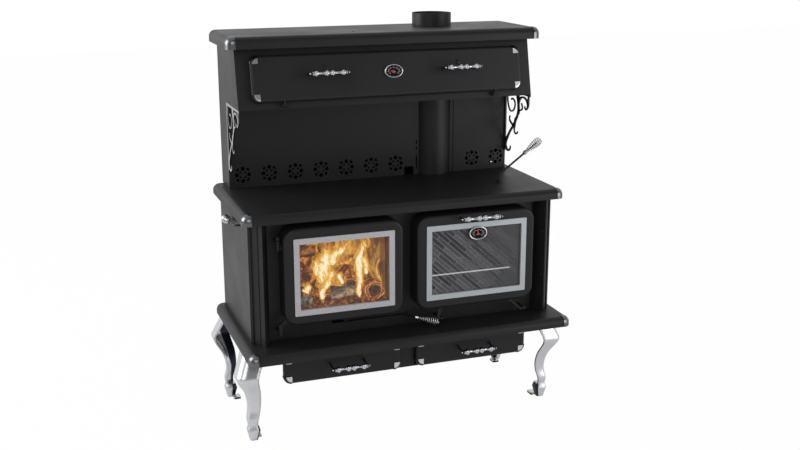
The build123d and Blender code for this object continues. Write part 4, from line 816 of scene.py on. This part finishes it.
log_rows = [
    ("log_right", (-118, -166, 541), (-112, 60, 545), 38, 3, char),
    ("log_middle", (-300, -164, 526), (-262, 60, 530), 23, 7, char),
    ("log_between", (-206, -150, 572), (-160, 90, 602), 28, 11, char),
    ("log_ash", (-292, -160, 538), (-200, -156, 552), 21, 41, ash_bark),
    ("log_ash_left", (-450, -150, 541), (-364, -156, 524), 20, 45, ash_bark),
    ("log_left_low", (-446, -130, 560), (-350, -120, 552), 26, 15, char),
    ("log_left", (-450, -90, 610), (-338, -105, 582), 36, 19, char),
    ("log_standing", (-222, 10, 520), (-190, 70, 770), 66, 23, amber_bark),
    ("log_top_left", (-450, 20, 660), (-330, 60, 720), 52, 27, char),
    ("log_back", (-450, 110, 560), (-80, 120, 590), 56, 31, char),
    ("log_top_right", (-150, 60, 640), (-84, 100, 740), 30, 35, char),
]
for row in log_rows:
    log(*row)
print("logs", len(log_rows))

# %% [markdown]
# ## Coals
# The bed under the logs is a heap of coals. Geometry Nodes scatters lumps over the firebox floor with a
# fixed seed, each turned and sized at random, and realizes them into one mesh.
# %% Coal bed
coals_tree, given, result = new_tree("coal_bed", "GeometryNodeTree", [
    ("Geometry", GEOMETRY), ("Width", FLOAT), ("Depth", FLOAT), ("Density", FLOAT), ("Lump", FLOAT),
    ("Seed", WHOLE), ("Coal", MATERIAL)], [("Geometry", GEOMETRY)])
bed = node(coals_tree, "GeometryNodeMeshGrid", {"Size X": given["Width"], "Size Y": given["Depth"],
                                                "Vertices X": 12, "Vertices Y": 10})
spots = node(coals_tree, "GeometryNodeDistributePointsOnFaces", {
    "Mesh": bed.outputs["Mesh"], "Density": given["Density"], "Seed": given["Seed"]})
lump = node(coals_tree, "GeometryNodeMeshIcoSphere", {"Radius": given["Lump"], "Subdivisions": 2})
here = node(coals_tree, "GeometryNodeInputPosition")
rumple = node(coals_tree, "ShaderNodeTexNoise", {"Vector": here.outputs["Position"], "Scale": 90.0})
centred = vector_maths(coals_tree, "SUBTRACT", rumple.outputs["Color"], grey(0.5))
shift = node(coals_tree, "ShaderNodeVectorMath", {0: centred, "Scale": 0.016}, operation="SCALE")
lumpy = node(coals_tree, "GeometryNodeSetPosition", {"Geometry": lump.outputs["Mesh"],
                                                     "Offset": shift.outputs[0]})
turns = node(coals_tree, "FunctionNodeRandomValue", {"Seed": 2}, data_type="FLOAT_VECTOR")
turns.inputs["Max"].default_value = (6.3, 6.3, 6.3)
sizes = node(coals_tree, "FunctionNodeRandomValue", {"Seed": 3}, data_type="FLOAT_VECTOR")
sizes.inputs["Min"].default_value = (0.6, 0.6, 0.5)
sizes.inputs["Max"].default_value = (1.5, 1.4, 1.1)
heap = node(coals_tree, "GeometryNodeInstanceOnPoints", {
    "Points": spots.outputs["Points"], "Instance": lumpy.outputs["Geometry"],
    "Rotation": turns.outputs["Value"], "Scale": sizes.outputs["Value"]})
finish_tree(coals_tree, heap.outputs["Instances"], given["Coal"], result)
coals = grow("coal_bed", coals_tree, {"Width": 0.38, "Depth": 0.32, "Density": 4200.0, "Lump": 0.009,
                                      "Seed": 5, "Coal": char})
adopt("coal_bed", coals, Matrix.Translation((-0.262, -0.012, 0.509)), "stove")
print("coals", len(coals.vertices))

# %% [markdown]
# ## Flames
# A flame is a sheet of glowing gas: white in its core, amber at its skirts, gone at its edge. Each lick is
# a ribbon along a smooth curve, with its own width at each point. Its UV map runs across and along it, and
# the material fades it from the core outwards, with noise in Object coordinates to tear its edge.
# %% Flame finish


def flame_finish(name, edge, core, white, cover, tear_size, tear_depth):
    """Gas that glows from an edge colour through a core colour to white, and half covers what is behind."""
    made, tree, shader = new_material(name, grey(0.0), 1.0, specular=0.0)
    ribbon = xyz(tree, node(tree, "ShaderNodeUVMap", uv_map="UVMap").outputs["UV"])
    tall = node(tree, "ShaderNodeMapping", {"Vector": coordinates(tree)[0], "Scale": (1.0, 1.0, 0.42)})
    tear = clouds(tree, tall.outputs["Vector"], tear_size, 7.0, 0.62, 1.8)
    away = maths(tree, "ABSOLUTE", maths(tree, "SUBTRACT", ribbon["X"], 0.5))
    middle = remap(tree, away, 0.0, 0.5, 1.0, 0.0, "SMOOTHSTEP")
    foot, tip = remap(tree, ribbon["Y"], 0.0, 0.12), remap(tree, ribbon["Y"], 0.72, 1.0, 1.0, 0.0)
    ends = maths(tree, "MULTIPLY", foot, tip)
    torn = remap(tree, tear, 0.3, 0.7, -tear_depth, tear_depth * 0.25)
    heat = maths(tree, "ADD", maths(tree, "MULTIPLY", middle, ends), torn)
    glow(tree, shader, ramp(tree, heat, (0.08, edge), (0.46, core), (0.92, white)), 1.0)
    wire(tree, shader, {"Alpha": remap(tree, heat, 0.04, 0.70, 0.0, cover, "SMOOTHSTEP")})
    return made


hot_flame = flame_finish("hot_flame", (0.62, 0.20, 0.010), (0.96, 0.56, 0.09), (1.0, 0.96, 0.74), 0.98,
                         58.0, 0.62)
halo_flame = flame_finish("halo_flame", (0.42, 0.12, 0.008), (0.74, 0.32, 0.030), (0.95, 0.58, 0.12), 0.66,
                          50.0, 0.80)
soft_flame = flame_finish("soft_flame", (0.22, 0.085, 0.012), (0.40, 0.19, 0.030), (0.70, 0.42, 0.11), 0.50,
                          46.0, 0.70)
print("flame finishes", hot_flame.name, halo_flame.name, soft_flame.name)

# %% [markdown]
# Each path is a list of points: across, up and width, in millimetres. Hot licks stand before wider halos of
# the same paths, and thin and soft licks stand behind them.
# %% Flame licks
across_steps, steps_between = 8, 7


def between(a, b, c, d, t):
    """A smooth curve between b and c, with a and d as their neighbours."""
    square, cube = 2 * a - 5 * b + 4 * c - d, 3 * b - 3 * c + d - a
    return 0.5 * ((2 * b) + (c - a) * t + square * t * t + cube * t ** 3)


def lick(path, y, seed):
    """Vertices, faces and UVs of a ribbon through (x, z, width) points, in millimetres."""
    line = []
    for i in range(len(path) - 1):
        rows = (path[max(i - 1, 0)], path[i], path[i + 1], path[min(i + 2, len(path) - 1)])
        line += [[between(*values, t / steps_between) for values in zip(*rows)] for t in range(steps_between)]
    line.append(list(path[-1]))
    verts, uvs = [], []
    for j, (x, z, width) in enumerate(line):
        before, after = line[max(j - 1, 0)], line[min(j + 1, len(line) - 1)]
        run = Vector((after[0] - before[0], after[1] - before[1])).normalized()
        shake = 1 + 0.35 * wobble((seed, j * 0.33, 0.5), 1.0)
        depth = y + 10 * wobble((0.7, seed, j * 0.2), 1.0)
        for i in range(across_steps + 1):
            u = i / across_steps
            reach = (u - 0.5) * (max(width, 3.0) * 2.2 + 16) * shake
            verts.append(Vector((x + run.y * reach, depth + 8 * abs(u - 0.5), z - run.x * reach)) * MM)
            uvs.append((u, j / (len(line) - 1)))
    return verts, grid_faces(len(line), across_steps + 1), uvs


def flame_layer(name, material, y, paths):
    """Several licks as one mesh, each a little behind the last."""
    licks = [lick(path, y + 3.0 * index, index * 3.7 + y) for index, path in enumerate(paths)]
    verts, faces = join([(v, f) for v, f, _ in licks])
    uvs = [uv for _, _, row in licks for uv in row]
    mesh_piece(name, verts, faces, material, "stove", "fire_brick", uvs=uvs)


hot_paths = [
    [(-336, 586, 14), (-325, 622, 30), (-318, 655, 42), (-312, 684, 36), (-308, 712, 18), (-300, 756, 12)],
    [(-342, 622, 9), (-344, 654, 14), (-337, 690, 9)],
    [(-282, 652, 12), (-282, 684, 24), (-268, 702, 17), (-240, 716, 13), (-222, 756, 14)],
    [(-322, 520, 9), (-320, 556, 13), (-296, 596, 14), (-284, 630, 14), (-287, 655, 11)],
    [(-176, 512, 8), (-178, 540, 12), (-174, 594, 15), (-177, 644, 23), (-172, 682, 14), (-155, 728, 15),
     (-150, 760, 12)],
    [(-148, 604, 9), (-148, 645, 11), (-166, 682, 10)],
    [(-238, 576, 11), (-250, 600, 9), (-257, 622, 5)],
    [(-410, 548, 12), (-382, 566, 17), (-358, 588, 9)],
    [(-430, 516, 8), (-408, 524, 12), (-380, 520, 8)],
    [(-320, 508, 8), (-290, 514, 9), (-262, 508, 7)]]
halo_paths = [[(x + 3, z + 4, 1.9 * w + 14) for x, z, w in path] for path in hot_paths]
thin_paths = [
    [(-268, 640, 3), (-258, 668, 5), (-240, 708, 4), (-214, 738, 6), (-206, 760, 4)],
    [(-300, 690, 3), (-286, 722, 5), (-290, 760, 3)], [(-330, 700, 3), (-338, 730, 5), (-330, 764, 3)],
    [(-258, 720, 3), (-250, 744, 5), (-256, 768, 3)], [(-232, 724, 4), (-236, 748, 5), (-226, 770, 3)],
    [(-196, 690, 3), (-206, 720, 5), (-198, 760, 3)], [(-132, 700, 3), (-128, 730, 4), (-138, 762, 3)],
    [(-62, 540, 3), (-78, 566, 4), (-96, 604, 5), (-88, 650, 4), (-80, 700, 3)],
    [(-72, 520, 3), (-98, 560, 5), (-122, 606, 5), (-138, 660, 4), (-132, 710, 3)],
    [(-374, 742, 3), (-350, 736, 5), (-322, 748, 3)], [(-436, 540, 3), (-420, 560, 5), (-404, 580, 3)],
    [(-346, 540, 3), (-356, 570, 4), (-346, 600, 3)], [(-310, 600, 3), (-300, 640, 5), (-306, 690, 4)]]
soft_paths = [
    [(-170, 672, 18), (-178, 716, 24), (-196, 760, 22)],
    [(-66, 552, 10), (-90, 595, 14), (-104, 636, 18), (-84, 678, 22), (-78, 712, 16), (-88, 754, 12)],
    [(-62, 516, 8), (-72, 552, 10), (-104, 602, 12), (-130, 650, 14), (-146, 704, 18), (-140, 754, 12)],
    [(-392, 756, 26), (-352, 746, 26), (-322, 742, 18), (-310, 706, 14)],
    [(-300, 560, 26), (-300, 600, 40), (-290, 650, 52), (-282, 700, 48), (-270, 754, 44)],
    [(-226, 640, 20), (-222, 680, 34), (-214, 710, 44), (-208, 760, 44)],
    [(-150, 650, 20), (-140, 700, 34), (-146, 758, 26)],
    [(-408, 520, 12), (-398, 545, 16), (-380, 580, 12)],
    [(-320, 512, 14), (-286, 507, 16), (-236, 509, 14), (-196, 506, 10)]]
flame_rows = (("flames_hot", hot_flame, -172, hot_paths), ("flames_halo", halo_flame, -158, halo_paths),
              ("flames_thin", halo_flame, -150, thin_paths), ("flames_soft", soft_flame, -120, soft_paths))
for row in flame_rows:
    flame_layer(*row)
print("flame layers", len(flame_rows))

# %% [markdown]
# Behind the flames the bricks are lit by the fire. A lumpy sheet just in front of the side and back walls
# glows with that haze of amber and brown: painted firelight, from a sheet that is no lamp.
# %% Glow behind the fire
# The sheet's glow is painted firelight on the bricks; the sheet is no lamp.
painted_firelight, tree, shader = new_material("painted_firelight_on_bricks", (0.05, 0.025, 0.012), 0.9)
lumps = clouds(tree, coordinates(tree)[0], 17.0, 7.0, 0.66, 1.6)
glow(tree, shader, ramp(tree, lumps, (0.38, (0.045, 0.016, 0.006)), (0.49, (0.14, 0.052, 0.014)),
                        (0.61, (0.30, 0.125, 0.026)), (0.74, (0.66, 0.30, 0.05))), 0.85)
plan = [(-454, -168), (-454, 60), (-440, 120), (-400, 150), (-260, 158), (-120, 150), (-84, 120), (-70, 60),
        (-70, -168)]
wall_rows, wall_foot, wall_height, firebox_x = 34, 503, 306, -262
wall_line = []
for (x0, y0), (x1, y1) in zip(plan, plan[1:]):
    pieces = max(2, round(math.hypot(x1 - x0, y1 - y0) / 12))
    wall_line += [(x0 + (x1 - x0) * i / pieces, y0 + (y1 - y0) * i / pieces) for i in range(pieces)]
wall_line.append(plan[-1])
verts = []
for j in range(wall_rows + 1):
    z = wall_foot + wall_height * j / wall_rows
    for x, y in wall_line:
        swell = 1 - 0.03 * (1 + wobble((x / 60, y / 60, z / 60), 1.0))
        verts.append(Vector((firebox_x + (x - firebox_x) * swell, y * swell if y > 0 else y, z)) * MM)
mesh_piece("painted_firelight_sheet", verts, grid_faces(wall_rows + 1, len(wall_line)), painted_firelight, "stove", "fire_brick")
print("glow sheet", len(verts))

# %% [markdown]
# ## The rail of the oven rack
# A polished rail hangs just below the rack's front wire, on two drops. It is the one bright line in the
# dark oven, and its glow is a painted highlight, added to what it mirrors through the coated pane.
# %% Oven rail
rail_steel_painted_highlight, tree, shader = new_material("rail_steel_painted_highlight", (0.75, 0.75, 0.74), 0.2, metallic=1.0)
# The rail's glow is a painted highlight; the rail is no lamp.
glow(tree, shader, (1.0, 1.0, 0.98, 1), 2.6)
rail_z, rail_y, rail_r = 574 * MM, -167 * MM, 2.6 * MM
rail_profile = eased([(0, rail_r * 0.5), (3 * MM, rail_r), (390 * MM, rail_r), (394 * MM, rail_r * 0.5)], 4)
drop_profile = [(0, 1.6 * MM), (18 * MM, 1.6 * MM)]
rail = lathe((54 * MM, rail_y, rail_z), (1, 0, 0), rail_profile, 16)
drops = [lathe((x * MM, rail_y, rail_z), (0, 0, 1), drop_profile, 12) for x in (70, 430)]
mesh_piece("rack_rail_drops", *join(drops), black_screw, "rack", "rack_wire")
mesh_piece("rack_rail", *rail, rail_steel_painted_highlight, "rack", "rack_wire")
print("rail drops", len(drops))

# %% [markdown]
# ## Stage, light and camera
# The floor and the world are white to the camera and, more faintly, to mirrors, through Light Path, while
# the light that falls on the stove stays at a plain level. The camera stands where the photographer stood:
# to the left, above the cook top.
# %% Stage
floor_white, tree, shader = new_material("floor_white", grey(0.62), 0.8, specular=0.1)
path = node(tree, "ShaderNodeLightPath").outputs
seen = maths(tree, "MAXIMUM", path["Is Camera Ray"], path["Is Transmission Ray"])
share = maths(tree, "MAXIMUM", maths(tree, "MULTIPLY", seen, 0.985),
              maths(tree, "MULTIPLY", path["Is Glossy Ray"], 0.40))
white = node(tree, "ShaderNodeEmission", {"Color": (1, 1, 1, 1), "Strength": 1.0})
blend = node(tree, "ShaderNodeMixShader", {0: share, 1: shader.outputs["BSDF"], 2: white.outputs[0]})
wire(tree, tree.nodes["Material Output"], {"Surface": blend.outputs[0]})
reach = 14.0
data = bpy.data.meshes.new("studio_floor")
data.from_pydata([(-reach, -reach, 0), (reach, -reach, 0), (reach, reach, 0), (-reach, reach, 0)], [],
                 [(0, 1, 2, 3)])
data.materials.append(floor_white)
floor = bpy.data.objects.new("studio_floor", data)
scene.collection.objects.link(floor)
print("floor", 2 * reach, "m across")

# %% [markdown]
# The camera sees a white world. Mirrors see a white room with its bright walls behind and beside the stove,
# whose ceiling and side behind the camera are dark. Plated parts need that: what they show is the room, and
# an even white room would turn them to paper.
# %% World
world = bpy.data.worlds.new("studio")
scene.world = world
world.use_nodes = True
tree = world.node_tree
way = xyz(tree, node(tree, "ShaderNodeTexCoord").outputs["Generated"])
ceiling = remap(tree, way["Z"], 0.22, 0.42, 0.0, 0.25, "SMOOTHSTEP")
behind_camera = remap(tree, way["Y"], 0.30, -0.50, 0.0, 0.78, "SMOOTHSTEP")
room = maths(tree, "SUBTRACT", 1.0, maths(tree, "MAXIMUM", ceiling, behind_camera))
path = node(tree, "ShaderNodeLightPath").outputs
seen = maths(tree, "MAXIMUM", path["Is Camera Ray"], path["Is Transmission Ray"])
mirrored = remap(tree, path["Is Glossy Ray"], 0.0, 1.0, 0.50, room)
strength = remap(tree, seen, 0.0, 1.0, mirrored)
wire(tree, tree.nodes["Background"], {"Strength": strength, "Color": (1, 1, 1, 1)})
print("world", world.name)

# %% Lamps


def soft_lamp(name, place, size, power):
    """A square area lamp that looks at the middle of the stove."""
    lamp = bpy.data.lights.new(name, "AREA")
    lamp.size = size
    lamp.energy = power
    made = bpy.data.objects.new(name, lamp)
    made.location = place
    aim = Vector((0.0, 0.0, 0.8)) - Vector(place)
    made.rotation_euler = aim.to_track_quat("-Z", "Y").to_euler()
    scene.collection.objects.link(made)


soft_lamp("key_left_back", (-3.4, 1.3, 2.2), 2.2, 100)
soft_lamp("fill_left", (-2.7, -4.4, 3.3), 3.4, 75)
soft_lamp("fill_right", (3.5, -3.0, 1.3), 3.0, 85)
print("lamps", len(bpy.data.lights))

# %% Camera
lens = bpy.data.cameras.new("photo_camera")
lens.lens = 49.725
lens.sensor_width = 36.0
look_down, roll, turn_right = 0.263, 0.001, 0.347
camera = bpy.data.objects.new("photo_camera", lens)
camera.location = (-1.3836, -3.9554, 1.8738)
camera.rotation_euler = (math.pi / 2 - look_down, roll, -turn_right)
scene.collection.objects.link(camera)
scene.camera = camera
scene.view_settings.view_transform = "Standard"
print("camera", camera.name)

# %% Finish
bpy.context.view_layer.update()
